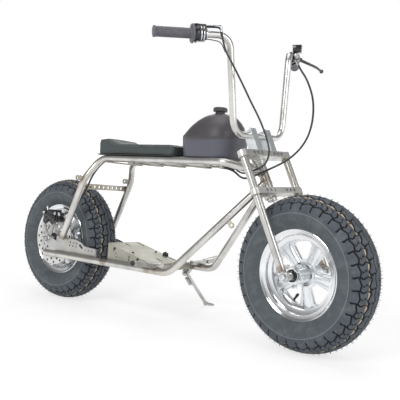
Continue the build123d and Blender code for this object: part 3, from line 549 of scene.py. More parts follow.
@dataclass(frozen=True)
class TyreRubber(Finish):
    """Slate-grey tyre rubber with a thin tan mould line on the right of the tread."""

    centre: tuple[float, float, float] = (0.0, 0.0, 0.0)
    axle: tuple[float, float, float] = (0.0, 1.0, 0.0)
    block: Point = (0.072, 0.084, 0.102)
    # groove: near-black colour painted into the cut grooves as painted shade
    groove: Point = (0.005, 0.006, 0.009)
    wall: Point = (0.084, 0.099, 0.110)
    line: Point = (0.66, 0.52, 0.34)
    crown: float = 0.169
    crown_radius: float = 0.075
    line_turn: float = 26.0

    def paint(self, ink: Ink) -> None:
        """Draws block tops, grooves painted near-black as painted shade, the smooth wall with its rings and
        the mould line.

        Args:
            ink: What draws the material's nodes.
        """
        radius, along, _ = ink.hub(Vector(self.centre), Vector(self.axle))
        reach = ((radius - self.crown) ** 2.0 + along**2.0).sum("SQRT")
        flank = 0.0672 - abs(along) + (0.2085 - radius).most(0.0) * -0.12
        depth = (self.crown_radius - reach).least(flank.most(0.0) + (radius - 0.213).most(0.0) * 9.0)
        tread = ink.fade(radius, 0.1905, 0.1925)
        sunk = ink.fade(depth, 0.0008, 0.0034) * tread
        # real dust: random lighter patches on the rubber
        dust_and_shade = ink.noise(34.0, 5.0, 0.72)
        grain = ink.noise(900.0, 2.0, 0.6)
        colour = ink.blend(tread, self.wall, self.block)
        colour = ink.blend(ink.fade(dust_and_shade, 0.42, 0.70) * 0.50, colour, (0.180, 0.198, 0.208))
        # painted shade: the cut grooves are painted near-black by their depth
        colour = ink.blend(sunk, colour, self.groove)
        side = self.crown_radius * sin(radians(self.line_turn))
        stripe = 1.0 - ink.fade(abs(along + side), 0.0012, 0.0021)
        broken = ink.fade(ink.noise(30.0, 3.0, 0.6), 0.30, 0.42)
        colour = ink.blend(stripe * tread * (1.0 - sunk * 0.7) * broken * 0.9, colour, self.line)
        ring = 1.0 - ink.fade(abs(radius - 0.1895), 0.0004, 0.0016)
        colour = ink.blend(ring * 0.55, colour, (0.30, 0.33, 0.34))
        ink.surface(
            Base_Color=colour,
            Roughness=ink.fade(dust_and_shade, 0.3, 0.7, 0.58, 0.74) - (1.0 - tread) * 0.06,
            Normal=ink.bump(grain, 0.00012, 0.6),
            Specular_IOR_Level=0.42,
        )


@dataclass(frozen=True)
class Dull(Finish):
    """A plain non-metal with soft patches and a fine grain: rubber, plastic, paint."""

    light: Point = (0.030, 0.030, 0.033)
    dark: Point = (0.018, 0.018, 0.020)
    rough: float = 0.45
    grain: float = 900.0
    depth: float = 0.00008
    coat: float = 0.0
    speck: float = 0.0

    def paint(self, ink: Ink) -> None:
        """Draws patches, a fine grain and rubbed specks.

        Args:
            ink: What draws the material's nodes.
        """
        cloud = ink.noise(40.0, 3.0, 0.6)
        grain = ink.noise(self.grain, 2.0, 0.6)
        colour = ink.blend(cloud, self.light, self.dark)
        if self.speck:
            rubbed = ink.fade(ink.noise(180.0, 4.0, 0.7), 0.60, 0.68)
            colour = ink.blend(rubbed * self.speck, colour, [min(1.0, c * 3.0 + 0.03) for c in self.light])
        ink.surface(
            Base_Color=colour,
            Roughness=self.rough + (cloud - 0.5) * 0.16,
            Coat_Weight=self.coat,
            Coat_Roughness=0.15,
            Normal=ink.bump(grain, self.depth, 0.7),
        )


@dataclass(frozen=True)
class Vinyl(Finish):
    """Green-black seat vinyl with a leather-like grain of small cells."""

    light: Point = (0.082, 0.100, 0.101)
    dark: Point = (0.046, 0.058, 0.058)

    def paint(self, ink: Ink) -> None:
        """Draws cells, creases and a soft sheen.

        Args:
            ink: What draws the material's nodes.
        """
        cells = ink.node("TexVoronoi", {"feature": "DISTANCE_TO_EDGE"},
                         {"Vector": ink.place(), "Scale": 520.0}, "Distance")
        edge = ink.fade(cells, 0.02, 0.16)
        crease = ink.noise(28.0, 3.0, 0.5)
        cloud = ink.noise(11.0, 2.0, 0.5)
        ink.surface(
            Base_Color=ink.blend(edge * 0.6 + cloud * 0.4, self.dark, self.light),
            Roughness=0.58 - edge * 0.08 + (crease - 0.5) * 0.1,
            Normal=ink.bump(edge * 0.35 + crease, 0.0006, 0.35),
            Coat_Weight=0.05,
            Coat_Roughness=0.45,
            Specular_IOR_Level=0.40,
        )


@dataclass(frozen=True)
class TankPaint(Finish):
    """Satin black tank paint with a brown-violet cast above its crease, and a painted reflection that makes
    it lighter and bluer below.
    """

    crease: float = 0.65

    def paint(self, ink: Ink) -> None:
        """Draws a slow colour shift, a painted reflection below the crease, a fine orange peel and a painted
        sheen at grazing angles.

        Args:
            ink: What draws the material's nodes.
        """
        height = ink.node("SeparateXYZ", {}, {0: ink.place()}, "Z")
        cloud = ink.noise(9.0, 3.0, 0.5)
        # painted reflection: the band below the crease is painted lighter and bluer
        lower = 1.0 - ink.fade(height + (cloud - 0.5) * 0.010, self.crease - 0.010, self.crease + 0.003)
        colour = ink.blend(cloud, (0.068, 0.062, 0.066), (0.054, 0.051, 0.058))
        colour = ink.blend(lower * 0.85, colour, (0.112, 0.116, 0.150))
        # painted sheen: the colour turns lighter and violet at grazing angles
        rim = ink.node("LayerWeight", {}, {"Blend": 0.35}, "Facing")
        colour = ink.blend(rim * 0.30, colour, (0.105, 0.095, 0.115))
        peel = ink.noise(260.0, 2.0, 0.5)
        ink.surface(
            Base_Color=colour,
            Roughness=0.42 + (cloud - 0.5) * 0.10,
            Coat_Weight=0.15,
            Coat_Roughness=0.40,
            Normal=ink.bump(peel, 0.00010, 0.5),
        )


@dataclass(frozen=True)
class PlateCoat(Finish):
    """The engine plate's thin olive-grey coat, rubbed to bright tan metal in patches."""

    coat: Point = (0.46, 0.455, 0.40)
    worn: Point = (0.60, 0.57, 0.49)

    def paint(self, ink: Ink) -> None:
        """Draws mottling, rubbed patches and small dark marks.

        Args:
            ink: What draws the material's nodes.
        """
        mottle = ink.noise(32.0, 5.0, 0.65)
        patch = ink.fade(ink.noise(16.0, 5.0, 0.72), 0.46, 0.72)
        mark = ink.fade(ink.noise(75.0, 3.0, 0.6), 0.64, 0.70)
        colour = ink.blend(mottle, self.coat, (0.36, 0.355, 0.30))
        colour = ink.blend(patch * 0.5, colour, self.worn)
        colour = ink.blend(mark * 0.6, colour, (0.09, 0.085, 0.075))
        ink.surface(
            Base_Color=colour,
            Metallic=0.75,
            Roughness=0.44 - patch * 0.10 + mottle * 0.1,
            Normal=ink.bump(mottle, 0.0003, 0.4),
        )


@dataclass
class Shape:
    """A mesh under construction, in millimetres."""

    points: list[Vector] = field(default_factory=list)
    faces: list[tuple[int, ...]] = field(default_factory=list)

    def grid(self, rows: Sequence[Sequence[Vector]], around: bool = True, along: bool = False) -> Shape:
        """Adds a skin over rows of points.

        Args:
            rows: The rows, all as long as each other.
            around: Whether each row closes on itself.
            along: Whether the last row joins the first.

        Returns:
            The shape.
        """
        start, count, wide = len(self.points), len(rows), len(rows[0])
        for row in rows:
            self.points.extend(row)
        for i in range(count if along else count - 1):
            for j in range(wide if around else wide - 1):
                a, b = i * wide, (i + 1) % count * wide
                k = (j + 1) % wide
                self.faces.append((start + a + j, start + a + k, start + b + k, start + b + j))
        return self

    def lid(self, row: Sequence[Vector], flip: bool = False) -> Shape:
        """Closes a ring of points with one face.

        Args:
            row: The ring.
            flip: Whether the face looks the other way.

        Returns:
            The shape.
        """
        start = len(self.points)
        self.points.extend(row)
        order = range(start, start + len(row))
        self.faces.append(tuple(reversed(order)) if flip else tuple(order))
        return self

    def lathe(self, origin: Vector, axis: Vector, outline: Sequence[tuple[float, float]], steps: int = 48,
              closed: bool = False, lobes: int = 0, lobe: float = 0.0) -> Shape:
        """Turns an outline about an axis.

        Args:
            origin: The point on the axis from which heights are counted.
            axis: The axis.
            outline: Points of radius and height.
            steps: How many facets go round.
            closed: Whether the outline closes on itself.
            lobes: How many flutes go round.
            lobe: How deep the flutes are.

        Returns:
            The shape.
        """
        first, second = frame_of(axis)
        up = axis.normalized()
        rows = []
        for radius, height in outline:
            row = []
            for turn in turns(steps):
                reach = radius + (lobe * cos(lobes * turn) if radius > lobe * 3 else 0.0)
                row.append(origin + up * height + (first * cos(turn) + second * sin(turn)) * reach)
            rows.append(row)
        self.grid(rows, True, closed)
        if not closed:
            for row, radius, flip in ((rows[0], outline[0][0], True), (rows[-1], outline[-1][0], False)):
                if radius > 0.01:
                    self.lid(row, flip)
        return self

    def tube(self, line: Sequence[Vector], radius: Union[float, Callable[[float], float]], steps: int = 12,
             closed: bool = False) -> Shape:
        """Adds a round tube along a line of points.

        Args:
            line: The points.
            radius: The radius, or a function of the share of the way along.
            steps: How many facets go round.
            closed: Whether the line closes on itself.

        Returns:
            The shape.
        """
        rows, count = [], len(line)
        side: Optional[Vector] = None
        for i, here in enumerate(line):
            after = line[(i + 1) % count] if closed else line[min(i + 1, count - 1)]
            before = line[i - 1] if closed or i else here
            run = (after - before).normalized()
            if side is None:
                side, _ = frame_of(run)
            side = (side - run * side.dot(run)).normalized()
            other = run.cross(side)
            reach = radius(i / max(1, count - 1)) if callable(radius) else radius
            rows.append([here + (side * cos(t) + other * sin(t)) * reach for t in turns(steps)])
        self.grid(rows, True, closed)
        if not closed:
            self.lid(rows[0], True).lid(rows[-1])
        return self

    def block(self, centre: Vector, axes: Sequence[Vector], size: Sequence[float],
              pinch: float = 0.0) -> Shape:
        """Adds a box, narrowed at its far end.

        Args:
            centre: Its middle.
            axes: Its three directions.
            size: Its three lengths.
            pinch: How much of the first two lengths is lost at the third's far end.

        Returns:
            The shape.
        """
        a, b, c = (axis.normalized() * length / 2 for axis, length in zip(axes, size))
        rows = []
        for end, share in ((-1, 1.0), (1, 1.0 - pinch)):
            rows.append([centre + a * i * share + b * j * share + c * end for i, j in SQUARE])
        return self.grid(rows).lid(rows[0], True).lid(rows[1])

    def bolt(self, foot: Vector, axis: Vector, radius: float, height: float, socket: bool = False) -> Shape:
        """Adds a bolt head on a washer: a hexagon, or a round head with a hexagon socket.

        Args:
            foot: Where the head sits.
            axis: Which way it points.
            radius: The head's radius.
            height: The head's height.
            socket: Whether it is a round head with a socket.

        Returns:
            The shape.
        """
        washer = [(radius * 1.35, 0), (radius * 1.35, height * 0.16), (radius * 1.1, height * 0.22)]
        self.lathe(foot, axis, washer, 20)
        if socket:
            inner = radius * 0.55
            rim = [(radius, 0.1), (radius, height * 0.85), (radius * 0.86, height), (inner, height)]
            well = [(inner, height), (inner * 0.98, height * 0.45), (0.01, height * 0.45)]
            return self.lathe(foot, axis, rim, 20).lathe(foot, axis, well, 6)
        outline = [(radius, 0.1), (radius, height * 0.82), (radius * 0.86, height), (radius * 0.3, height)]
        return self.lathe(foot, axis, outline, 6)

    def weld(self, line: Sequence[Vector], radius: float = 2.4, closed: bool = False, seed: int = 1) -> Shape:
        """Adds a rippled weld bead along a line.

        Args:
            line: Its points.
            radius: The bead's radius.
            closed: Whether it goes all round.
            seed: Which uneven shape it has.

        Returns:
            The shape.
        """
        fine = spread(line, 1.3, closed)
        spots = [noise.noise(point * 0.21 + Vector((seed, 0, 0))) for point in fine]
        ripple = [radius * (1 + 0.22 * spot + (0.16 if i % 3 == 0 else -0.05))
                  for i, spot in enumerate(spots)]
        count = max(1, len(fine) - 1)
        return self.tube(fine, lambda share: ripple[min(len(ripple) - 1, round(share * count))], 7, closed)

    def make(self, name: str, mount: Mount, finish: Finish, slot: Slot, replaces: Sequence[str] = (),
             bevel: float = 0.0, sharp: float = 38.0) -> bpy.types.Object:
        """Turns the shape into a piece of the bike.

        Args:
            name: The piece's name.
            mount: The body that it moves with, and the place of its millimetres.
            finish: Its finish.
            slot: The record's material slot; it is not used.
            replaces: The CAD nodes that it stands for.
            bevel: The width of the bevel on its edges, in millimetres.
            sharp: The angle in degrees from which an edge stays sharp.

        Returns:
            The piece.
        """
        mesh = bpy.data.meshes.new(name)
        mesh.from_pydata([tuple(point) for point in self.points], [], self.faces)
        shape = bmesh.new()
        shape.from_mesh(mesh)
        bmesh.ops.remove_doubles(shape, verts=shape.verts, dist=0.001)
        bmesh.ops.recalc_face_normals(shape, faces=shape.faces)
        if bevel:
            edges = [e for e in shape.edges if len(e.link_faces) == 2
                     and e.calc_face_angle(0) > radians(sharp)]
            bmesh.ops.bevel(shape, geom=edges, offset=bevel, segments=2, affect="EDGES", profile=0.5,
                            clamp_overlap=True)
        keep_smooth(shape, mesh, sharp)
        mesh.transform(mount.place)
        return settle(bpy.data.objects.new(name, mesh), finish, mount.body, replaces)


def keep_smooth(shape: bmesh.types.BMesh, mesh: bpy.types.Mesh, sharp: float) -> None:
    """Shades a shape smooth but for its sharp edges, and writes it to its mesh.

    Args:
        shape: The shape, freed afterwards.
        mesh: The mesh that it is written to.
        sharp: The angle in degrees from which an edge stays sharp.
    """
    for face in shape.faces:
        face.smooth = True
    for edge in shape.edges:
        edge.smooth = len(edge.link_faces) == 2 and edge.calc_face_angle(0) < radians(sharp)
    shape.to_mesh(mesh)
    shape.free()


def evaluated_mesh(piece: bpy.types.Object) -> bpy.types.Mesh:
    """Gives a new mesh of what an object shows now."""
    bpy.context.view_layer.update()
    seen = piece.evaluated_get(bpy.context.evaluated_depsgraph_get())
    return bpy.data.meshes.new_from_object(seen)


def link(piece: bpy.types.Object) -> bpy.types.Object:
    """Links an object to the scene, once."""
    if piece.name not in bpy.context.scene.collection.objects:
        bpy.context.scene.collection.objects.link(piece)
    return piece


def moved(spots: np.ndarray, place: Matrix) -> np.ndarray:
    """Takes rows of points through a matrix."""
    matrix = np.array(place)
    return spots @ matrix[:3, :3].T + matrix[:3, 3]


def settle(piece: bpy.types.Object, finish: Finish, body: Body, replaces: Sequence[str] = (),
           ends: Optional[tuple[Vector, Vector]] = None) -> bpy.types.Object:
    """Links a piece to the scene, gives it its finish and lets it ride on its body; a cord given its ends is
    baked in place instead.

    Args:
        piece: The piece.
        finish: Its finish.
        body: The body that it moves with.
        replaces: The CAD nodes that it stands for.
        ends: For a cord, where it leaves the bars and where it meets the frame; when given, the piece is
            baked in place instead of riding on its body.

    Returns:
        The piece.
    """
    link(piece)
    piece.data.materials.clear()
    piece.data.materials.append(finish.material())
    if ends:
        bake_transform(piece)
    else:
        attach(piece, body.value)
    if replaces:
        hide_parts(*replaces)
    LOG.info("%s rides on %s", piece.name, body.value)
    return piece


def turns(steps: int) -> list[float]:
    """Gives the angles of a full turn in equal steps, in radians."""
    return [2 * pi * i / steps for i in range(steps)]


def frame_of(axis: Vector) -> tuple[Vector, Vector]:
    """Gives two directions square to an axis and to each other."""
    up = axis.normalized()
    near = AHEAD if abs(up.x) < 0.8 else UP
    first = (near - up * near.dot(up)).normalized()
    return first, up.cross(first)


def spread(line: Sequence[Vector], step: float, closed: bool = False) -> list[Vector]:
    """Gives points an equal step apart along straight runs.

    Args:
        line: The ends of the runs.
        step: The wanted step.
        closed: Whether the line closes on itself.

    Returns:
        The points.
    """
    ends = list(line) + ([line[0]] if closed else [])
    out = []
    for a, b in zip(ends, ends[1:]):
        count = max(1, round((b - a).length / step))
        out += [a.lerp(b, i / count) for i in range(count)]
    return out if closed else out + [ends[-1]]


def curve_through(knots: Sequence[Vector], parts: int = 8, closed: bool = False) -> list[Vector]:
    """Gives points of a smooth curve through its knots.

    Args:
        knots: The knots.
        parts: The points between two knots.
        closed: Whether the curve closes on itself.

    Returns:
        The points.
    """
    count, out = len(knots), []
    for i in range(count if closed else count - 1):
        b, c = knots[i], knots[(i + 1) % count]
        a = knots[i - 1] if closed or i else b * 2 - c
        d = knots[(i + 2) % count] if closed or i + 2 < count else c * 2 - b
        for j in range(parts):
            t = j / parts
            out.append(0.5 * ((b * 2) + (c - a) * t + (a * 2 - b * 5 + c * 4 - d) * t**2
                              + (b * 3 - a - c * 3 + d) * t**3))
    return out if closed else out + [knots[-1]]


def plate(name: str, outlines: Sequence[Sequence[tuple[float, float]]],
          plane: tuple[Vector, Vector, Vector], thick: float, round_edge: float,
          place: Matrix) -> bpy.types.Object:
    """Makes a flat plate with holes and rounded edges.

    Args:
        name: Its name.
        outlines: The outer outline and those of its holes, in the plane.
        plane: The plane's middle and its two directions.
        thick: The plate's thickness, the plane being in its middle.
        round_edge: The radius of its edges.
        place: The place of its millimetres.

    Returns:
        The plate, not yet dressed.
    """
    sheet = bpy.data.curves.new(name, "CURVE")
    sheet.dimensions = "2D"
    sheet.fill_mode = "BOTH"
    sheet.extrude = thick / 2 - round_edge
    sheet.bevel_depth = round_edge
    sheet.bevel_resolution = 1
    sheet.offset = -round_edge
    for outline in outlines:
        spline = sheet.splines.new("POLY")
        spline.points.add(len(outline) - 1)
        for point, (x, y) in zip(spline.points, outline):
            point.co = (x, y, 0, 1)
        spline.use_cyclic_u = True
    holder = link(bpy.data.objects.new(f"{name}_flat", sheet))
    mesh = evaluated_mesh(holder)
    bpy.data.objects.remove(holder)
    origin, x_dir, y_dir = plane
    turn = Matrix((x_dir, y_dir, x_dir.cross(y_dir))).transposed().to_4x4()
    mesh.transform(place @ Matrix.Translation(origin) @ turn)
    shape = bmesh.new()
    shape.from_mesh(mesh)
    bmesh.ops.remove_doubles(shape, verts=shape.verts, dist=0.000002)
    keep_smooth(shape, mesh, 50)
    return bpy.data.objects.new(name, mesh)


def polar(radius: float, degrees: float) -> Vector:
    """Gives a flat point from its radius and its angle."""
    return Vector((radius * cos(radians(degrees)), radius * sin(radians(degrees)), 0))


def mirrored(spot: Point, side: int) -> Vector:
    """Gives a point of the left half on the wanted side: 1 for the left, -1 for the right."""
    return Vector((spot[0], side * spot[1], spot[2]))


def ring_line(centre: Vector, axis: Vector, radius: float, steps: int = 40) -> list[Vector]:
    """Gives the points of a ring."""
    first, second = frame_of(axis)
    return [centre + (first * cos(t) + second * sin(t)) * radius for t in turns(steps)]


def circle(x: float, y: float, radius: float, steps: int) -> list[tuple[float, float]]:
    """Gives a flat circle's points."""
    return [(x + radius * cos(t), y + radius * sin(t)) for t in turns(steps)]


def saddle(start: Vector, run: Vector, radius: float, other: Vector, other_run: Vector, other_radius: float,
           steps: int = 40) -> list[Vector]:
    """Gives the line where a round tube's skin meets another tube.

    Args:
        start: A point on the first tube's middle line, outside the other tube.
        run: The first tube's direction towards the other.
        radius: The first tube's radius.
        other: A point on the other tube's middle line.
        other_run: The other tube's direction.
        other_radius: The other tube's radius.
        steps: How many points go round.

    Returns:
        The line's points.
    """
    run, other_run = run.normalized(), other_run.normalized()
    first, second = frame_of(run)
    line = []
    for t in turns(steps):
        skin = start + (first * cos(t) + second * sin(t)) * radius
        gap = skin - other
        flat_run = run - other_run * run.dot(other_run)
        flat_gap = gap - other_run * gap.dot(other_run)
        a, b, c = flat_run.dot(flat_run), 2 * flat_run.dot(flat_gap), flat_gap.dot(flat_gap) - other_radius**2
        under = b * b - 4 * a * c
        reach = (-b - sqrt(under)) / (2 * a) if under > 0 else -b / (2 * a)
        line.append(skin + run * reach)
    return line


@dataclass(frozen=True)
class Paper(Finish):
    """The floor: it takes the bike's soft shadow and fades to white where the camera looks past it."""

    glow: float = 1.15
    near: float = 1.0
    far: float = 2.4
    share: float = 0.62

    def paint(self, ink: Ink) -> None:
        """Draws plain paper that also glows for the camera, gloss and glass, more so far away.

        Args:
            ink: What draws the material's nodes.
        """
        paper = ink.node("BsdfDiffuse", {}, {"Color": (0.93, 0.93, 0.93)})
        glow = ink.node("Emission", {}, {"Color": (1.0, 1.0, 1.0), "Strength": self.glow})
        far = ink.fade(ink.vector("LENGTH", ink.place(), out="Value"), self.near, self.far, self.share, 1.0)
        rays = (f"Is {name} Ray" for name in ("Camera", "Glossy", "Transmission"))
        first, second, third = (ink.node("LightPath", {}, {}, name) for name in rays)
        ink.end(ink.node("MixShader", {}, {0: first.most(second).most(third) * far, 1: paper, 2: glow}))


@dataclass(frozen=True)
class Lamp:
    """A soft square lamp: its place, its target and its side in metres, its power in watts."""

    name: str
    place: Point
    target: Point
    side: float
    power: float

    def hang(self) -> None:
        """Adds the lamp to the scene."""
        data = bpy.data.lights.new(self.name, "AREA")
        data.size = self.side
        data.energy = self.power
        lamp = link(bpy.data.objects.new(self.name, data))
        lamp.location = self.place
        lamp.rotation_euler = (Vector(self.target) - Vector(self.place)).to_track_quat("-Z", "Y").to_euler()


@dataclass
class Studio:
    """A pale floor, a white surround, soft lamps and the camera."""

    lamps: tuple[Lamp, ...] = (
        Lamp("key_lamp", (0.2, -3.2, 3.0), (0.1, 0.0, 0.4), 1.5, 62.0),
        Lamp("fill_lamp", (3.6, -0.4, 1.9), (0.2, 0.0, 0.5), 1.6, 34.0),
        Lamp("back_lamp", (-1.6, 3.0, 2.6), (0.0, 0.0, 0.5), 2.0, 30.0),
        Lamp("top_lamp", (0.0, 0.2, 3.6), (0.0, 0.0, 0.0), 2.6, 36.0),
    )
    sky: Pairs = ((0.0, 0.55), (0.49, 1.0), (0.55, 1.0), (0.62, 0.52), (0.80, 0.22))
    eye: Point = (2022.7, -1743.8, 470.1)
    look: Point = (-0.6111, 0.7915, -0.0113)
    right: Point = (0.7891, 0.6102, 0.0694)
    lens: float = 56.61
    floor_half: float = 60.0

    def build(self) -> None:
        """Makes the camera, the surround, the floor and the lamps."""
        bpy.context.scene.view_settings.view_transform = "Standard"
        self.camera()
        self.surround()
        self.floor()
        for lamp in self.lamps:
            lamp.hang()
        LOG.info("studio built")

    def camera(self) -> None:
        """Sets the camera where the photograph was taken from."""
        data = bpy.data.cameras.new("camera")
        data.lens = self.lens
        data.sensor_width = 36.0
        data.clip_end = 200.0
        camera = link(bpy.data.objects.new("camera", data))
        turn = BIKE.level.to_3x3() * 1000.0
        look, right = turn @ Vector(self.look), turn @ Vector(self.right)
        look.normalize()
        right = (right - look * right.dot(look)).normalized()
        axes = Matrix((right, right.cross(look), -look)).transposed()
        camera.matrix_world = Matrix.Translation(BIKE.level @ Vector(self.eye)) @ axes.to_4x4()
        bpy.context.scene.camera = camera

    def surround(self) -> None:
        """Makes a world that is white to the camera and shades softly towards the top in gloss."""
        world = bpy.data.worlds.new("surround")
        bpy.context.scene.world = world
        world.use_nodes = True
        world.node_tree.nodes.clear()
        ink = Ink(world.node_tree)
        height = ink.node("SeparateXYZ", {}, {0: ink.node("TexCoord", {}, {}, "Generated")}, "Z")
        camera = ink.node("LightPath", {}, {}, "Is Camera Ray")
        low = ink.ramp(height * 0.5 + 0.5, [(place, (grey,) * 3) for place, grey in self.sky])
        colour = ink.blend(camera, low, (1.0, 1.0, 1.0))
        shader = ink.node("Background", {}, {"Color": colour, "Strength": 1.0})
        output = world.node_tree.nodes.new("ShaderNodeOutputWorld")
        world.node_tree.links.new(shader.socket, output.inputs["Surface"])

    def floor(self) -> None:
        """Makes the pale floor, white to the camera but for the bike's soft shadow."""
        mesh = bpy.data.meshes.new("floor")
        half = self.floor_half
        corners = [(x * half, y * half, 0) for x, y in SQUARE]
        mesh.from_pydata(corners, [], [(0, 1, 2, 3)])
        mesh.materials.append(Paper("floor_paper").material())
        floor = link(bpy.data.objects.new("floor", mesh))


@dataclass
class Cords:
    """The throttle cable and the brake hose, each a smooth line through its route."""

    sheath: Finish = Dull("cable_sheath", (0.040, 0.041, 0.045), (0.020, 0.021, 0.024), 0.34, 700.0, 0.00005)
    throttle_length: float = 0.603
    hose_length: float = 0.689
    throttle: tuple[Point, ...] = (
        (873, -205, 962), (881, -199, 916), (900, -182, 876), (912, -158, 839),
        (922, -131, 801), (931, -106, 764), (943, -81, 727), (954, -62, 690), (963, -44, 650),
        (967, -31, 612), (957, -36, 573), (931, -50, 556), (900, -51, 543), (868, -46, 544),
        (842, -52, 564), (817, -57, 571),
    )
    hose: tuple[Point, ...] = (
        (899, 214, 962), (912, 217, 934), (938, 218, 902), (961, 212, 864), (981, 203, 822),
        (994, 189, 776), (1003, 168, 729), (1006, 140, 681), (1001, 106, 641), (992, 66, 608),
        (979, 26, 583), (959, -12, 562), (930, -36, 542), (898, -39, 527), (866, -35, 528),
        (841, -41, 550), (817.6, -46, 559),
    )

    def build(self) -> None:
        """Makes both cords and their end sleeves."""
        for name, route, length, thick in (
            ("throttle_cable", self.throttle, self.throttle_length, 6.0),
            ("brake_hose", self.hose, self.hose_length, 7.0),
        ):
            sleeve = self.sleeve(f"{name}_sleeve", route[-1], route[-2], thick)
            cord, path = self.cord(f"{name}_line", route, thick)
            exit_point, clip = BIKE.level @ Vector(route[0]), BIKE.level @ Vector(route[-1])
            settle(cord, self.sheath, Body.FRAME, (name,), (exit_point, clip))

    def cord(self, name: str, route: Sequence[Point], thick: float) -> tuple[bpy.types.Object, list[Point]]:
        """Makes a cord as a round tube along the smooth line of its route.

        Args:
            name: Its name.
            route: The points that it follows.
            thick: Its diameter.

        Returns:
            The cord and the points of its middle line.
        """
        data = bpy.data.curves.new(name, "CURVE")
        data.dimensions = "3D"
        data.resolution_u = 10
        spline = data.splines.new("NURBS")
        spline.points.add(len(route) - 1)
        for point, spot in zip(spline.points, route):
            point.co = (*(BIKE.level @ Vector(spot)), 1.0)
        spline.order_u = 3
        spline.use_endpoint_u = True
        data.bevel_resolution = 5
        data.use_fill_caps = True
        holder = link(bpy.data.objects.new(f"{name}_route", data))
        middle = evaluated_mesh(holder)
        data.bevel_depth = thick / 2000
        tube = evaluated_mesh(holder)
        bpy.data.objects.remove(holder)
        tube.polygons.foreach_set("use_smooth", [True] * len(tube.polygons))
        return bpy.data.objects.new(name, tube), [tuple(vertex.co) for vertex in middle.vertices]

    def sleeve(self, name: str, end: Point, before: Point, thick: float) -> bpy.types.Object:
        """Makes the tapered sleeve where a cord enters its clip.

        Args:
            name: Its name.
            end: The cord's end.
            before: The point of the route before it.
            thick: The cord's diameter.

        Returns:
            The sleeve.
        """
        run = (Vector(before) - Vector(end)).normalized()
        taper = ((0.9, 0), (0.9, 5), (0.74, 8), (0.70, 22), (0.56, 25))
        shape = Shape().lathe(Vector(end), run, [(thick * share, along) for share, along in taper], 20)
        return shape.make(name, ON_FRAME, self.sheath, Slot.RUBBER)


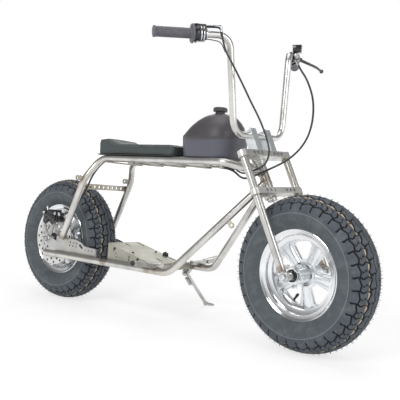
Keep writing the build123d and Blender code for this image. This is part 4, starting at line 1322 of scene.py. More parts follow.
@dataclass
class Wheel:
    """One wheel: the cast five-spoke wheel with its hub, valve and bolts, and the block-tread tyre.

    A zigzag runs round the tread: its distance from the crown, its swing and half its width. A slit
    crosses it: its shift in pitches, slant, bend, half its width, and the distances that it lies between.
    A ring stands on the wall: its height, its distance from the crown and its width.
    """

    name: str
    mount: Mount
    centre: Vector
    pitches: int = 36
    steps: int = 20
    crown: float = 169.0
    crown_radius: float = 75.0
    crown_turn: float = 50.0
    groove: float = 5.2
    window_start: float = 98.0
    spokes: int = 5
    bolt_ring: float = 33.0
    disc_bolt_ring: float = 24.5
    web_middle: float = 4.0
    web_thick: float = 19.0
    hub_right: float = 72.0
    hub_left: float = 60.0
    clearance: float = 0.006
    # strength of the painted shade on the casting behind the brake disc
    dust_and_shade: float = 0.0
    pitch: float = 42.0
    zigzags: tuple[tuple[float, float, float], ...] = ((61.0, 3.4, 1.7), (29.0, -4.4, 2.3), (8.5, 2.8, 1.8))
    slits: tuple[tuple[float, ...], ...] = (
        (0.02, 0.16, 0.13, 2.0, 29.0, 61.0),
        (0.27, 0.12, 0.08, 1.9, 8.5, 29.0),
        (0.50, 0.0, 0.0, 1.1, 0.0, 7.0),
        (0.52, 0.10, 0.10, 0.9, 40.0, 54.0),
        (0.06, 0.12, 0.05, 2.3, 61.0, 88.0),
    )
    rings: tuple[tuple[float, float, float], ...] = ((0.9, 91.5, 1.6), (0.6, 128.0, 2.0))
    seal_outline: Pairs = (
        (19.0, -1.0), (19.0, 1.0), (17.6, 1.8), (15.5, 0.6), (14.2, 1.6), (8.3, 1.2),
        (8.3, -1.0),
    )
    wall: Pairs = (
        (213.0, 61.0), (208.5, 64.0), (205.4, 65.6), (203.5, 66.2), (197.0, 67.6),
        (186.0, 68.2), (174.0, 67.2), (163.0, 64.0), (154.0, 59.0), (148.0, 54.5),
        (144.5, 51.5), (142.0, 49.8), (139.5, 47.0), (136.0, 45.2),
    )
    rim_outer: Pairs = (
        (141.2, 49.0), (140.6, 46.4), (136.0, 44.6), (129.0, 43.4), (127.0, 41.5),
        (127.0, 28.0), (123.0, 25.5), (112.0, 24.0), (110.8, 20.0),
    )
    rim_inner: Pairs = (
        (105.6, 17.0), (105.8, 25.0), (107.5, 28.5), (118.5, 30.8), (120.6, 32.2),
        (121.2, 35.0), (121.6, 40.5), (123.2, 42.6), (131.0, 44.4), (134.4, 46.0),
        (137.0, 49.0), (139.4, 50.0),
    )

    @property
    def parked_centre(self) -> Vector:
        """The wheel's middle in metres of the parked bike."""
        return self.mount.place @ self.centre

    @property
    def parked_axle(self) -> Vector:
        """The axle's direction to the left, of the parked bike."""
        return (self.mount.place.to_3x3() @ LEFT).normalized()

    def build(self) -> None:
        """Makes the tyre, its nubs, the casting, the hub's fittings and the valve."""
        self.tyre()
        self.nubs()
        self.casting()
        self.fittings()

    def spot(self, radius: float, side: float, turn: float) -> Vector:
        """Gives a point of the wheel from its radius, its distance to the left and its turn in radians."""
        return self.centre + Vector((radius * cos(turn), side, radius * sin(turn)))

    def half_outline(self) -> list[tuple[float, float, float]]:
        """Gives the tyre's outline from the crown to the bead.

        Returns:
            Radius, side and distance from the crown along the skin, for each point.
        """
        arc = []
        count = 34
        for i in range(count + 1):
            turn = radians(self.crown_turn) * i / count
            arc.append((self.crown + self.crown_radius * cos(turn), self.crown_radius * sin(turn)))
        knots = [Vector((r, y, 0)) for r, y in (*arc[-1:], *self.wall)]
        rest = [(p.x, p.y) for p in curve_through(knots, 2)][1:]
        out, run, last = [], 0.0, arc[0]
        for r, y in arc + rest:
            run += hypot(r - last[0], y - last[1])
            out.append((r, y, run))
            last = (r, y)
        return out

    def sunk(self, run: np.ndarray, phase: np.ndarray) -> np.ndarray:
        """Gives how deep the tread is cut.

        Args:
            run: The distance from the crown along the skin, to the left.
            phase: The place round the tyre in pitches.

        Returns:
            The share of the full groove depth, from 0 to 1.
        """
        far = np.abs(run)
        phase = phase + np.where(run < 0, 0.5, 0.0)
        wave = np.abs(((phase % 1.0) * 2.0) - 1.0) * 2.0 - 1.0

        def cut(distance: np.ndarray, half: float) -> np.ndarray:
            """Turns a distance from a groove's middle into a depth."""
            return np.clip((half + 0.8 - np.abs(distance)) / 0.9, 0.0, 1.0)

        def across(shift: float, slant: float, bend: float, half: float, low: float,
                   high: float) -> np.ndarray:
            """Cuts a groove across the tread.

            Args:
                shift: Its place in pitches.
                slant: How far it leans, in pitches over 30 mm.
                bend: How far it swings to either side, in pitches.
                half: Half its width.
                low: The distance from the crown where it starts.
                high: The distance from the crown where it ends.

            Returns:
                The share of the full depth.
            """
            lean = slant * (far - low) / 30.0
            swing = bend * np.sin((far - low) / (high - low) * 2 * pi)
            near = (phase - shift - lean - swing + 0.5) % 1.0 - 0.5
            inside = (far > low) & (far < high)
            return np.where(inside, cut(near * self.pitch, half), 0.0)

        grooves = [cut(far - (middle + swing * wave), half) for middle, swing, half in self.zigzags]
        grooves += [across(*slit) for slit in self.slits]
        return np.maximum.reduce(grooves)

    def tyre(self) -> None:
        """Makes the tyre with its tread blocks, raised rings and smooth walls."""
        half = self.half_outline()
        outline = [(r, -y, -s) for r, y, s in reversed(half[1:])] + half
        radius = np.array([p[0] for p in outline])
        side = np.array([p[1] for p in outline])
        run = np.array([p[2] for p in outline])
        count = self.pitches * self.steps
        phase = np.arange(count) / self.steps
        depth = self.sunk(run[None, :], phase[:, None])
        edge = np.clip((89.0 - np.abs(run)) / 3.0, 0.0, 1.0)[None, :]
        depth = depth * edge * self.groove
        slope = np.gradient(radius, run), np.gradient(side, run)
        normal = np.stack([slope[1], -slope[0]])
        normal /= np.linalg.norm(normal, axis=0)
        swell = sum(high * np.exp(-(((np.abs(run) - far) / wide) ** 2)) for high, far, wide in self.rings)
        reach = radius[None, :] + normal[0] * (swell - depth)
        wide = side[None, :] + normal[1] * (swell - depth)
        angle = (phase / self.pitches * 2 * pi)[:, None]
        flat = np.stack([reach * np.cos(angle), wide + 0 * angle, reach * np.sin(angle)], axis=-1)
        spots = moved(flat.reshape(-1, 3) + np.array(self.centre), self.mount.place)
        lane = len(outline)
        i, j = np.meshgrid(np.arange(count), np.arange(lane - 1), indexing="ij")
        after = (i + 1) % count
        faces = np.stack([i * lane + j, i * lane + j + 1, after * lane + j + 1, after * lane + j],
                         axis=-1).reshape(-1, 4)
        mesh = bpy.data.meshes.new(f"{self.name}_tread_tyre")
        mesh.from_pydata(spots.tolist(), [], faces.tolist())
        mesh.polygons.foreach_set("use_smooth", np.ones(len(mesh.polygons), dtype=bool))
        mesh.update()
        piece = bpy.data.objects.new(f"{self.name}_tread_tyre", mesh)
        settle(piece, self.rubber(), self.mount.body, (f"{self.name}_tyre",))

    def rubber(self) -> TyreRubber:
        """Gives the tyre's finish at this wheel's place."""
        return TyreRubber(f"{self.name}_rubber", tuple(self.parked_centre), tuple(self.parked_axle))

    def nubs(self) -> None:
        """Makes the fine moulding hairs on the tread, none where the tyre stands on the floor."""
        shape = Shape()
        for number in range(self.pitches * 2):
            for lane, turn in enumerate((-44.0, -33.0, -18.0, -4.0, 8.0, 22.0, 36.0, 46.0)):
                spin = 2 * pi * (number + 0.37 * lane) / (self.pitches * 2)
                lean = radians(turn + 3.0 * noise.noise(Vector((number, lane, 0.5))))
                radius, side = self.crown + self.crown_radius * cos(lean), self.crown_radius * sin(lean)
                root = self.spot(radius - 0.6, side, spin)
                way = (Vector((cos(spin), 0, sin(spin))) * cos(lean) + LEFT * sin(lean)).normalized()
                tip = root + way * (6.6 + 2.4 * noise.noise(Vector((number, lane, 3.5))))
                if (self.mount.place @ tip).z < self.clearance:
                    continue
                tip += Vector((noise.noise(Vector((number, lane, 7.0))), 0,
                               noise.noise(Vector((number, lane, 9.0))))) * 1.6
                shape.tube([root, tip], lambda share: 0.95 - 0.45 * share, 3)
        shape.make(f"{self.name}_tyre_hairs", self.mount, self.rubber(), Slot.TYRE)

    def rim_outline(self) -> list[tuple[float, float]]:
        """Gives the rim's closed outline as radius and side, with its rounded flanges and steps."""
        right = [(r, -y) for part in (self.rim_outer, self.rim_inner) for r, y in reversed(part)]
        return [*self.rim_outer, *right, *self.rim_inner]

    def window_turn(self, number: float) -> float:
        """Gives the turn of a window in degrees; the spokes are at the halves."""
        return self.window_start + 360 / self.spokes * number

    def window(self, start: float) -> list[tuple[float, float]]:
        """Gives one rounded window of the web.

        Args:
            start: The turn of its middle in degrees.

        Returns:
            Its outline, from the wheel's middle.
        """
        inner, outer, wide, narrow = 44.0, 100.5, 20.5, 12.5
        corners = ((outer, -wide), (outer, wide), (inner, narrow), (inner, -narrow))
        flat = [polar(r, a) for r, a in corners]
        arc = [polar(outer, a) for a in np.linspace(-wide + 6, wide - 6, 9)]
        low = [polar(inner, a) for a in np.linspace(narrow - 6, 6 - narrow, 4)]

        def pull(a: Vector, b: Vector, c: Vector) -> list[Vector]:
            """Rounds the corner b between a and c."""
            return [a * (1 - t) ** 2 + b * 2 * t * (1 - t) + c * t * t for t in (0.0, 0.25, 0.5, 0.75, 1.0)]

        up, down = flat[1].lerp(flat[2], 0.16), flat[2].lerp(flat[1], 0.10)
        up2, down2 = flat[0].lerp(flat[3], 0.16), flat[3].lerp(flat[0], 0.10)
        line = arc + pull(arc[-1], flat[1], up)[1:] + pull(down, flat[2], low[0])[:-1] + low
        line += pull(low[-1], flat[3], down2)[1:] + pull(up2, flat[0], arc[0])[:-1]
        turn = radians(start)
        return [(p.x * cos(turn) - p.y * sin(turn), p.x * sin(turn) + p.y * cos(turn)) for p in line]

    def casting(self) -> None:
        """Makes the rim, the web with its windows and the stepped hub as one piece."""
        finish = CastAlloy(f"{self.name}_cast_alloy", tuple(self.parked_centre), tuple(self.parked_axle),
                           self.dust_and_shade)
        shape = Shape().lathe(self.centre, LEFT, self.rim_outline(), 144, True)
        drum = [(8.3, -self.hub_right), (17.0, -self.hub_right), (19.0, -self.hub_right + 0.8),
                (19.6, -self.hub_right + 4), (27.2, -self.hub_right + 4), (28.4, -self.hub_right + 5.5),
                (28.6, -18.0), (31.0, -9.0), (37.0, -4.0), (46.0, -3.2), (46.0, 11.0), (36.0, 12.2),
                (30.5, 17.0), (28.6, 26.0), (28.4, self.hub_left - 3), (26.0, self.hub_left - 1),
                (8.3, self.hub_left - 1)]
        shape.lathe(self.centre, LEFT, drum, 64, True)
        for number in range(self.spokes):
            turn = radians(self.window_turn(number + 0.5))
            way = Vector((cos(turn), 0, sin(turn)))
            flat = Vector((-sin(turn), 0, cos(turn)))
            middle = self.centre + Vector((0, self.web_middle, 0))
            rows = []
            for share in np.linspace(0.0, 1.0, 9):
                wide = 13.5 + 7.0 * share**1.6 + 2.2 * (1 - share) ** 3
                tall = 12.5 - 3.5 * share
                spot = middle + way * (38 + 68 * share)
                rows.append([
                    spot + flat * wide * cos(t) * (1 - 0.10 * sin(t) ** 2)
                    - LEFT * tall * (abs(sin(t)) ** 0.7) * (1 if sin(t) > 0 else -1)
                    for t in turns(20)
                ])
            shape.grid(rows)
            boss = self.centre + way * self.bolt_ring
            step = [(0.01, -self.hub_right), (6.2, -self.hub_right), (7.0, -self.hub_right + 1), (7.2, -56.5)]
            shape.lathe(boss, LEFT, step + [(4.0, -55.5)], 20)
        shape.make(f"{self.name}_cast_rim", self.mount, finish, Slot.CAST,
                   (f"{self.name}_wheel_casting",), sharp=32)
        windows = [self.window(self.window_turn(number)) for number in range(self.spokes)]
        plane = (self.centre + Vector((0, self.web_middle, 0)), AHEAD, UP)
        web = plate(f"{self.name}_cast_web", [circle(0, 0, 108.0, 120), *windows], plane,
                    self.web_thick - 6, 3.2, self.mount.place)
        settle(web, finish, self.mount.body)

    def fittings(self) -> None:
        """Makes the hub's bolts, bearing seals and the valve stem."""
        zinc = Bright("hub_bolts", (0.70, 0.71, 0.73), (0.42, 0.43, 0.45))
        bolts = Shape()
        for number in range(self.spokes):
            turn = radians(self.window_turn(number + 0.5))
            foot = self.spot(self.bolt_ring, -self.hub_right, turn)
            if self.mount.body is Body.FRONT_WHEEL:
                bolts.bolt(foot, -LEFT, 3.4, 4.2, True)
            bolts.bolt(self.spot(self.disc_bolt_ring, self.hub_left - 1, turn), LEFT, 2.2, 2.2)
        bolts.make(f"{self.name}_hub_bolts", self.mount, zinc, Slot.MACHINED)
        seal = Dull("seal_rubber", (0.020, 0.020, 0.022), (0.012, 0.012, 0.013), 0.40)
        rings = Shape()
        for side, way in ((-self.hub_right + 4, -LEFT), (self.hub_left - 1, LEFT)):
            base = self.centre + Vector((0, side, 0))
            rings.lathe(base, way, self.seal_outline, 40, True)
        rings.make(f"{self.name}_bearing_seals", self.mount, seal, Slot.RUBBER)
        if self.mount.body is Body.FRONT_WHEEL:
            face = self.centre + Vector((0, -self.hub_right, 0))
            lip = [(14.4, -0.5), (14.4, 3.2), (15.4, 4.6), (17.6, 4.6), (19.2, 3.0), (19.6, -0.5)]
            Shape().lathe(face, -LEFT, lip, 44, True).make("front_hub_seal", self.mount, seal, Slot.RUBBER)
        turn = radians(self.window_turn(2) - 2)
        root = self.spot(120.0, 19.0, turn)
        inward = (-Vector((cos(turn), 0, sin(turn))) * 0.95 + LEFT * 0.28).normalized()
        stem = [(5.6, -7.0), (5.6, 3.0), (4.2, 8.0), (3.6, 24.0), (3.4, 26.0)]
        cap = [(4.2, 25.0), (4.5, 27.0), (4.5, 36.0), (3.2, 38.0)]
        valve = Shape().lathe(root, inward, stem, 20).lathe(root, inward, cap, 20, lobes=10, lobe=0.18)
        valve.make(f"{self.name}_valve", self.mount, seal, Slot.RUBBER)


@dataclass
class Frame:
    """The welded frame: what dresses its tubes, plates and tabs."""

    tube: float = 12.7
    lower_half: float = 127.0
    rail_half: float = 85.0
    stay_foot: Point = (110.0, 127.0, 258.0)
    stay_bend: Point = (215.0, 127.0, 493.0)
    rail_front: Point = (830.0, 85.0, 576.0)
    rail_neck: Point = (926.0, 4.5, 549.0)
    lower_rear: Point = (14.0, 127.0, 192.0)
    lower_front: Point = (661.0, 127.0, 193.0)
    neck: Point = (915.0, 22.0, 483.0)
    heated_head: tuple[Point, ...] = ((940.0, 0.0, 527.0), (922.0, 0.0, 490.0))
    heated: tuple[Point, ...] = (
        (110.0, 127.0, 254.0), (184.0, 122.0, 466.0), (203.0, 127.0, 496.0), (355.0, 127.0, 200.0),
        (572.0, 127.0, 200.0), (606.0, 127.0, 206.0),
    )
    bracket_foot: float = 455.0
    peg_place: float = 606.0
    strap_places: tuple[float, ...] = (300.0, 410.0, 520.0, 640.0, 760.0)
    axle_plate_welds: Pairs = ((66.0, 120.0), (150.0, 205.0), (236.0, 284.0))
    engine_plate_welds: Pairs = ((362.0, 400.0), (440.0, 478.0), (520.0, 566.0))

    def build(self) -> None:
        """Dresses the tubes, plates and tabs, then adds the welds and the tubes' plugs."""
        heat = [BIKE.level @ p for p in self.heat_spots()]
        steel = BareSteel("frame_steel", heat=tuple(tuple(round(c, 4) for c in p) for p in heat))
        steel.dress("frame_upper_left", "frame_upper_right", "frame_lower_left", "frame_lower_right",
                    "head_tube")
        drab = BareSteel("strap_steel", (0.54, 0.53, 0.47), (0.34, 0.33, 0.28), (0.46, 0.40, 0.29), 0.34)
        drab.dress("rail_straps", "rear_cross_bracket", "mudguard_ears", "coil_ear", "cable_clip")
        sheet = BareSteel("plate_steel", (0.58, 0.58, 0.57), (0.42, 0.42, 0.41), (0.52, 0.47, 0.39), 0.30)
        sheet.dress("axle_plate_left", "axle_plate_right", "stand_bracket")
        self.welds()
        self.plugs()

    def heat_spots(self) -> list[Vector]:
        """Gives the places that welding has coloured."""
        sides = [mirrored(spot, side) for side in (-1, 1) for spot in self.heated]
        return [Vector(spot) for spot in self.heated_head] + sides

    def welds(self) -> None:
        """Lays the weld beads where tubes, plates and tabs meet."""
        shape = Shape()
        head_low, head_high = BIKE.fork(0, 0, 284.5), BIKE.fork(0, 0, 392.5)
        seed = 0
        for side in (-1, 1):
            seed += 1
            for ends in ((self.rail_front, self.rail_neck), (self.lower_front, self.neck)):
                start, end = (mirrored(spot, side) for spot in ends)
                line = saddle(start, end - start, self.tube, head_low, head_high - head_low, 17.2)
                shape.weld(line, 2.6, True, seed)
            top = self.lower_rear[2] + self.tube
            inner = side * (self.lower_half - 9.0)
            for low, high in self.axle_plate_welds:
                shape.weld([Vector((x, inner - side * 3.4, top - 3.2)) for x in (low, high)], 2.2, seed=seed)
            foot = mirrored(self.stay_foot, side)
            run = (mirrored(self.stay_bend, side) - foot).normalized()
            inward = LEFT * -side
            for shift in (-1, 1):
                edge = foot + inward * (self.tube + 0.4) + Vector((run.z, 0, -run.x)) * 6.5 * shift
                shape.weld([edge + run * 1, edge + run * 14], 2.2, seed=seed + 4)
            shape.weld(ring_line(foot + run * 0.8, run, self.tube - 0.6), 1.5, True, seed)
            place = foot.x + (self.bracket_foot - foot.z) * run.x / run.z - 15.0
            edge = Vector((place - 1.0, side * (self.lower_half - 10.5), self.bracket_foot))
            shape.weld([edge, edge + Vector((9.0, 0, 20.0))], 2.0, seed=seed)
            for x in self.strap_places:
                for shift in (-13.0, 13.0):
                    y = side * (self.rail_half - 2.0)
                    ends = ((y - side * 9, 562.4), (y + side * 2, 561.2))
                    shape.weld([Vector((x + shift, *end)) for end in ends], 1.5, seed=seed)
            for shift in (-10.6, 10.6):
                edge = Vector((self.peg_place + shift, side * self.lower_half - 9.0,
                               self.lower_front[2] + 10.4))
                shape.weld([edge, edge + LEFT * 18.0], 2.0, seed=seed)
            for low, high in self.engine_plate_welds if side < 0 else ():
                shape.weld([Vector((x, side * 114.0, 201.0)) for x in (low, high)], 2.0, seed=seed)
        steel = BareSteel("weld_bead", (0.46, 0.43, 0.38), (0.27, 0.24, 0.21), (0.44, 0.34, 0.20), 0.36)
        shape.make("frame_welds", ON_FRAME, steel, Slot.RAW, sharp=80)

    def plugs(self) -> None:
        """Closes the open rear ends of the lower tubes with cut steel."""
        shape = Shape()
        for side in (-1, 1):
            outline = [(12.3, -0.6), (11.7, 0.25), (10.4, 0.25), (10.2, -0.3), (0.01, -0.3)]
            shape.lathe(mirrored(self.lower_rear, side), -AHEAD, outline, 32)
        shape.make("tube_plugs", ON_FRAME, BareSteel("cut_steel", gloss=0.26), Slot.RAW)


@dataclass
class EnginePlate:
    """The slanted engine plate with its bolts, edges and the small block beside it."""

    rear: Point = (355.0, 0.0, 264.0)
    front: Point = (572.0, 0.0, 213.0)
    right: float = 114.3
    left: float = 44.0
    side_bolts: Pairs = ((388.0, 246.0), (505.0, 220.0), (548.0, 209.0))
    top_bolts: Pairs = ((0.50, -96.0), (0.52, 22.0))
    block: tuple[float, float] = (0.70, 34.0)

    def build(self) -> None:
        """Dresses the plate and adds its folded edges, bolts and block."""
        PlateCoat("plate_coat").dress("engine_plate")
        rear, front = Vector(self.rear), Vector(self.front)
        run = (front - rear).normalized()
        edges = Shape()
        for y in (-self.right + 0.6, self.left - 0.6):
            edges.tube([rear + Vector((0.8, y, -1.2)), front + Vector((-0.8, y, -1.2))], 1.7, 10)
        for end, shift in ((rear, 0.6), (front, -0.6)):
            edges.tube([end + Vector((shift, y, -1.3)) for y in (-self.right + 1, self.left - 1)], 1.6, 10)
        worn = BareSteel("worn_edge", (0.62, 0.56, 0.46), (0.45, 0.40, 0.31), (0.52, 0.43, 0.29), 0.34)
        edges.make("plate_folds", ON_FRAME, worn, Slot.PLATE, sharp=60)
        bolts = Shape()
        for x, z in self.side_bolts:
            bolts.bolt(Vector((x, -self.right, z)), -LEFT, 4.0, 3.6)
        up = Vector((-run.z, 0, run.x))
        for share, y in self.top_bolts:
            bolts.bolt(rear.lerp(front, share) + Vector((0, y, 0)), up, 4.2, 3.8)
        dark = Bright("plate_bolt_steel", (0.12, 0.12, 0.115), (0.06, 0.06, 0.055), 0.42)
        bolts.make("plate_bolts", ON_FRAME, dark, Slot.MACHINED, sharp=30)
        share, side = self.block
        middle, top = (rear.lerp(front, share) + Vector((0, side, height)) for height in (6.0, 11.6))
        block = Shape().block(middle, (run, LEFT, up), (17, 15, 12), 0.15).bolt(top, up, 3.2, 3.0)
        block.make("plate_block", ON_FRAME, Dull("block_black", speck=0.2), Slot.PLASTIC, bevel=1.2)


@dataclass
class Seat:
    """The flat seat pad with its rear hump, sewn cover and piping."""

    rear: float = 236.0
    front: float = 620.0
    half: float = 98.0
    floor: float = 593.3
    height: float = 35.0
    hump: float = 25.0
    hump_length: float = 95.0
    shrink: float = 4.0
    voxel: float = 5.0
    cap: float = 7.0

    def build(self) -> None:
        """Makes the pad, swells its cover, then sews on its piping and panels' seams."""
        Dull("seat_pan", (0.022, 0.024, 0.024), (0.013, 0.014, 0.014), 0.5).dress("seat_base")
        vinyl = Vinyl("seat_vinyl")
        pad = self.pad()
        settle(pad, vinyl, Body.FRAME, ("seat_cushion",))
        tree = BVHTree.FromObject(pad, bpy.context.evaluated_depsgraph_get())
        seams = Shape()
        seams.tube(self.lay(tree, self.rim(4.0, lambda x: self.top(x) - 3.0), closed=True), 1.9, 8, True)
        seams.tube(self.lay(tree, self.rim(1.0, lambda x: self.floor - 6.0), closed=True), 1.5, 8, True)
        for side in (-1, 1):
            for x in (self.front - 13.0, self.rear + 15.0):
                heights = (self.floor + 3 + i * (self.top(x) - self.floor - 8) / 12 for i in range(13))
                line = [Vector((x, side * self.half, height)) for height in heights]
                seams.tube(self.lay(tree, line), 1.1, 8)
        hump = [Vector((self.rear + 72 - 40 * (y / self.half) ** 2, y, self.floor + 90))
                for y in np.linspace(-84, 84, 33)]
        seams.tube(self.lay(tree, hump), 1.3, 8)
        worn = Vinyl("seat_piping_vinyl", (0.105, 0.122, 0.122))
        seams.make("seat_piping", ON_FRAME, worn, Slot.VINYL, sharp=80)

    def top(self, x: float) -> float:
        """Gives the height of the seat's upper edge at a place along it."""
        share = min(1.0, max(0.0, (self.rear + self.hump_length + 14 - x) / (self.hump_length - 4)))
        rise = share * share * (3 - 2 * share) * self.hump
        drop = 7.0 * max(0.0, (self.rear + 16 - x) / 16) ** 2
        return self.floor + self.height + rise - drop

    def rim(self, inset: float, height: Callable[[float], float]) -> list[Vector]:
        """Gives the seat's outline a little inside its edge.

        Args:
            inset: How far inside.
            height: Gives its height at a place along the seat.

        Returns:
            The outline's points.
        """
        corner, half = 17.0, self.half - inset
        low, high = self.rear + inset, self.front - inset
        line = []
        for x, y, start in ((high - corner, half - corner, 0), (low + corner, half - corner, 90),
                            (low + corner, corner - half, 180), (high - corner, corner - half, 270)):
            line += [Vector((x, y, 0)) + polar(corner, start + turn) for turn in range(0, 91, 15)]
        return [Vector((p.x, p.y, height(p.x))) for p in spread(line, 6.0, True)]

    def lay(self, tree: BVHTree, line: Sequence[Vector], closed: bool = False) -> list[Vector]:
        """Lays a line on the cover.

        Args:
            tree: The cover's faces.
            line: The line, near the cover.
            closed: Whether it closes on itself.

        Returns:
            The line on the cover.
        """
        back = BIKE.level.inverted()
        out = [back @ tree.find_nearest(BIKE.level @ point)[0] for point in line]
        soft = []
        for i, here in enumerate(out):
            before = out[i - 1 if closed or i else 0]
            after = out[(i + 1) % len(out) if closed or i + 1 < len(out) else i]
            soft.append(here * 0.5 + before * 0.25 + after * 0.25)
        return soft

    def pad(self) -> bpy.types.Object:
        """Returns:
            The pad.
        """
        rows = []
        inset = self.shrink
        for x in spread([Vector((self.rear + inset, 0, 0)), Vector((self.front - inset, 0, 0))], 8.0):
            end = min(x.x - self.rear - inset, self.front - inset - x.x)
            tight = 14.0 * (1 - sqrt(max(0.0, 1 - max(0.0, 1 - end / 14.0) ** 2)))
            half, high = self.half - inset - tight, self.top(x.x) - inset
            rows.append([Vector((x.x, y, z)) for y, z in self.section(half, self.floor + 0.8, high)])
        shape = Shape().grid(rows).lid(rows[0], True).lid(rows[-1])
        mesh = bpy.data.meshes.new("seat_pad")
        mesh.from_pydata([tuple(p) for p in shape.points], [], shape.faces)
        mesh.transform(BIKE.level)
        pad = link(bpy.data.objects.new("seat_pad", mesh))
        self.bake(pad, "REMESH", {"mode": "VOXEL", "voxel_size": self.voxel / 1000})
        self.swell(pad)
        self.bake(pad, "SUBSURF", {"levels": 1, "render_levels": 1})
        pad.data.polygons.foreach_set("use_smooth", [True] * len(pad.data.polygons))
        return pad

    def section(self, half: float, low: float, high: float) -> list[tuple[float, float]]:
        """Gives the pad's section: flat below, sides drawn in a little, a crowned top.

        Args:
            half: Half its width.
            low: Its foot.
            high: Its upper edge.

        Returns:
            The section's points of side and height.
        """
        right = [(half, low), (half, low + (high - low) * 0.45), (half - 0.8, high - 6),
                 (half - 2.6, high - 2), (half - 7, high)]
        crown = [(half * share, high + 1.6 * (1 - share * share)) for share in (0.8, 0.55, 0.3, 0.0)]
        points = right + crown
        foot = [(y * half, low) for y in (-0.6, -0.2, 0.2, 0.6)]
        return points + [(-y, z) for y, z in reversed(points[:-1])] + foot

    def bake(self, piece: bpy.types.Object, kind: str, settings: dict[str, Any]) -> None:
        """Adds a modifier and keeps its result as the piece's own mesh.

        Args:
            piece: The piece.
            kind: The modifier's type.
            settings: Its settings.
        """
        modifier = piece.modifiers.new(kind.lower(), kind)
        for name, value in settings.items():
            setattr(modifier, name, value)
        result = evaluated_mesh(piece)
        piece.modifiers.clear()
        piece.data = result

    def swell(self, pad: bpy.types.Object) -> None:
        """Fills the cover by simulation and holds every point near where it began.

        Args:
            pad: The pad.
        """
        start = np.array([v.co for v in pad.data.vertices])
        cloth = pad.modifiers.new("cover", "CLOTH")
        cloth.settings.use_pressure = True
        cloth.settings.uniform_pressure_force = 4.0
        cloth.settings.quality = 5
        cloth.settings.effector_weights.gravity = 0.0
        cloth.collision_settings.use_self_collision = False
        for number in range(1, 21):
            bpy.context.scene.frame_set(number)
        swollen = pad.evaluated_get(bpy.context.evaluated_depsgraph_get())
        end = np.array([v.co for v in swollen.data.vertices])
        pad.modifiers.clear()
        bpy.context.scene.frame_set(1)
        move = end - start
        size = np.linalg.norm(move, axis=1, keepdims=True)
        cap = self.cap / 1000
        move *= np.where(size > 1e-9, cap * np.tanh(size / cap) / np.maximum(size, 1e-9), 0.0)
        upright = moved(start + move, BIKE.level.inverted())
        upright[:, 2] = np.maximum(upright[:, 2], self.floor + 0.2)
        pad.data.vertices.foreach_set("co", moved(upright, BIKE.level).ravel())
        pad.data.update()


@dataclass
class Tank:
    """The small fuel tank: a rounded body with one crease, its neck and its fluted cap."""

    floor: float = 589.0
    rear: float = 624.0
    front: float = 828.0
    cap_place: float = 738.0
    crease: float = 71.0
    table: tuple[tuple[float, ...], ...] = (
        (0.0, 9.0, 9.0, 88.0), (4.0, 7.0, 7.0, 91.0), (38.0, 2.5, 2.5, 95.0),
        (71.0, 0.0, 0.0, 97.0), (76.0, 3.0, 0.8, 94.6), (96.0, 16.5, 4.0, 87.4),
        (112.0, 30.0, 9.0, 80.0), (128.0, 46.0, 17.5, 67.5), (142.0, 64.0, 29.0, 51.0),
        (150.0, 80.0, 41.0, 37.0), (153.4, 92.0, 54.0, 26.0),
    )
    heights: tuple[float, ...] = (
        0.0, 1.0, 4.0, 14, 26, 38, 50, 62, 69.6, 71.0, 72.4, 76, 80, 88,
        96, 104, 112, 120, 128, 135, 142, 146.5, 150, 152.2, 153.4,
    )

    def build(self) -> None:
        """Makes the body, the neck and the cap."""
        self.body()
        self.cap()

    def outline(self, height: float) -> list[Vector]:
        """Gives the tank's level outline at a height over its foot.

        Args:
            height: The height.

        Returns:
            The outline's points.
        """
        heights = [row[0] for row in self.table]
        rear, front, half = (float(np.interp(height, heights, [row[i] for row in self.table]))
                            for i in (1, 2, 3))
        low, high = self.rear + rear, self.front - front
        middle, reach = (low + high) / 2, (high - low) / 2
        power = 3.3 - 0.9 * min(1.0, max(0.0, (height - 71.0) / 80.0))
        line = []
        for t in turns(96):
            c, s = cos(t), sin(t)
            x = middle + reach * abs(c) ** (2 / power) * (1 if c > 0 else -1)
            y = half * abs(s) ** (2 / power) * (1 if s > 0 else -1)
            line.append(Vector((x, y * (1 - 0.05 * max(0.0, (x - middle) / reach)), self.floor + height)))
        return line

    def body(self) -> None:
        """Makes the tank's body."""
        rows = [self.outline(height) for height in self.heights]
        middle = Vector((self.cap_place, 0, self.floor + 154.0))
        for share in (0.35, 0.7):
            rows.append([p.lerp(middle, share) for p in self.outline(153.4)])
        shape = Shape().grid(rows).lid(rows[0], True).lid(rows[-1])
        satin = TankPaint("tank_satin", crease=0.001 * (self.floor + self.crease))
        shape.make("tank_body", ON_FRAME, satin, Slot.TANK, ("fuel_tank",), sharp=50)
        seam = Shape().tube([p + Vector((0, 0, 0.6)) for p in self.outline(1.0)], 1.5, 8, True)
        seam.make("tank_foot_seam", ON_FRAME, Dull("tank_rim_black"), Slot.TANK, sharp=80)

    def cap(self) -> None:
        """Makes the neck and the fluted cap."""
        foot = Vector((self.cap_place, 0, self.floor + 154.0))
        neck = Shape().lathe(foot, UP, [(19.0, -2.0), (19.0, 1.6), (16.8, 2.6), (16.4, 8.5), (17.6, 9.4)], 40)
        neck.make("cap_neck", ON_FRAME, Dull("neck_black", coat=0.2), Slot.PLASTIC)
        fluted = [(20.5, 8.6), (23.2, 9.2), (23.8, 11.0), (23.8, 19.5), (22.8, 21.6)]
        cap = Shape().lathe(foot, UP, fluted, 240, lobes=20, lobe=0.8)
        cap.lathe(foot, UP, [(23.0, 21.2), (21.6, 23.4), (17.0, 24.4), (9.0, 24.9), (0.01, 25.0)], 60)
        cap.lathe(foot, UP, [(10.4, 24.6), (10.0, 25.0), (9.2, 25.0), (8.8, 24.7)], 48)
        ribbed = Dull("cap_plastic", (0.060, 0.063, 0.063), (0.030, 0.031, 0.031), 0.38, coat=0.15,
                      speck=0.15)
        cap.make("fluted_cap", ON_FRAME, ribbed, Slot.PLASTIC, ("tank_cap",), sharp=50)


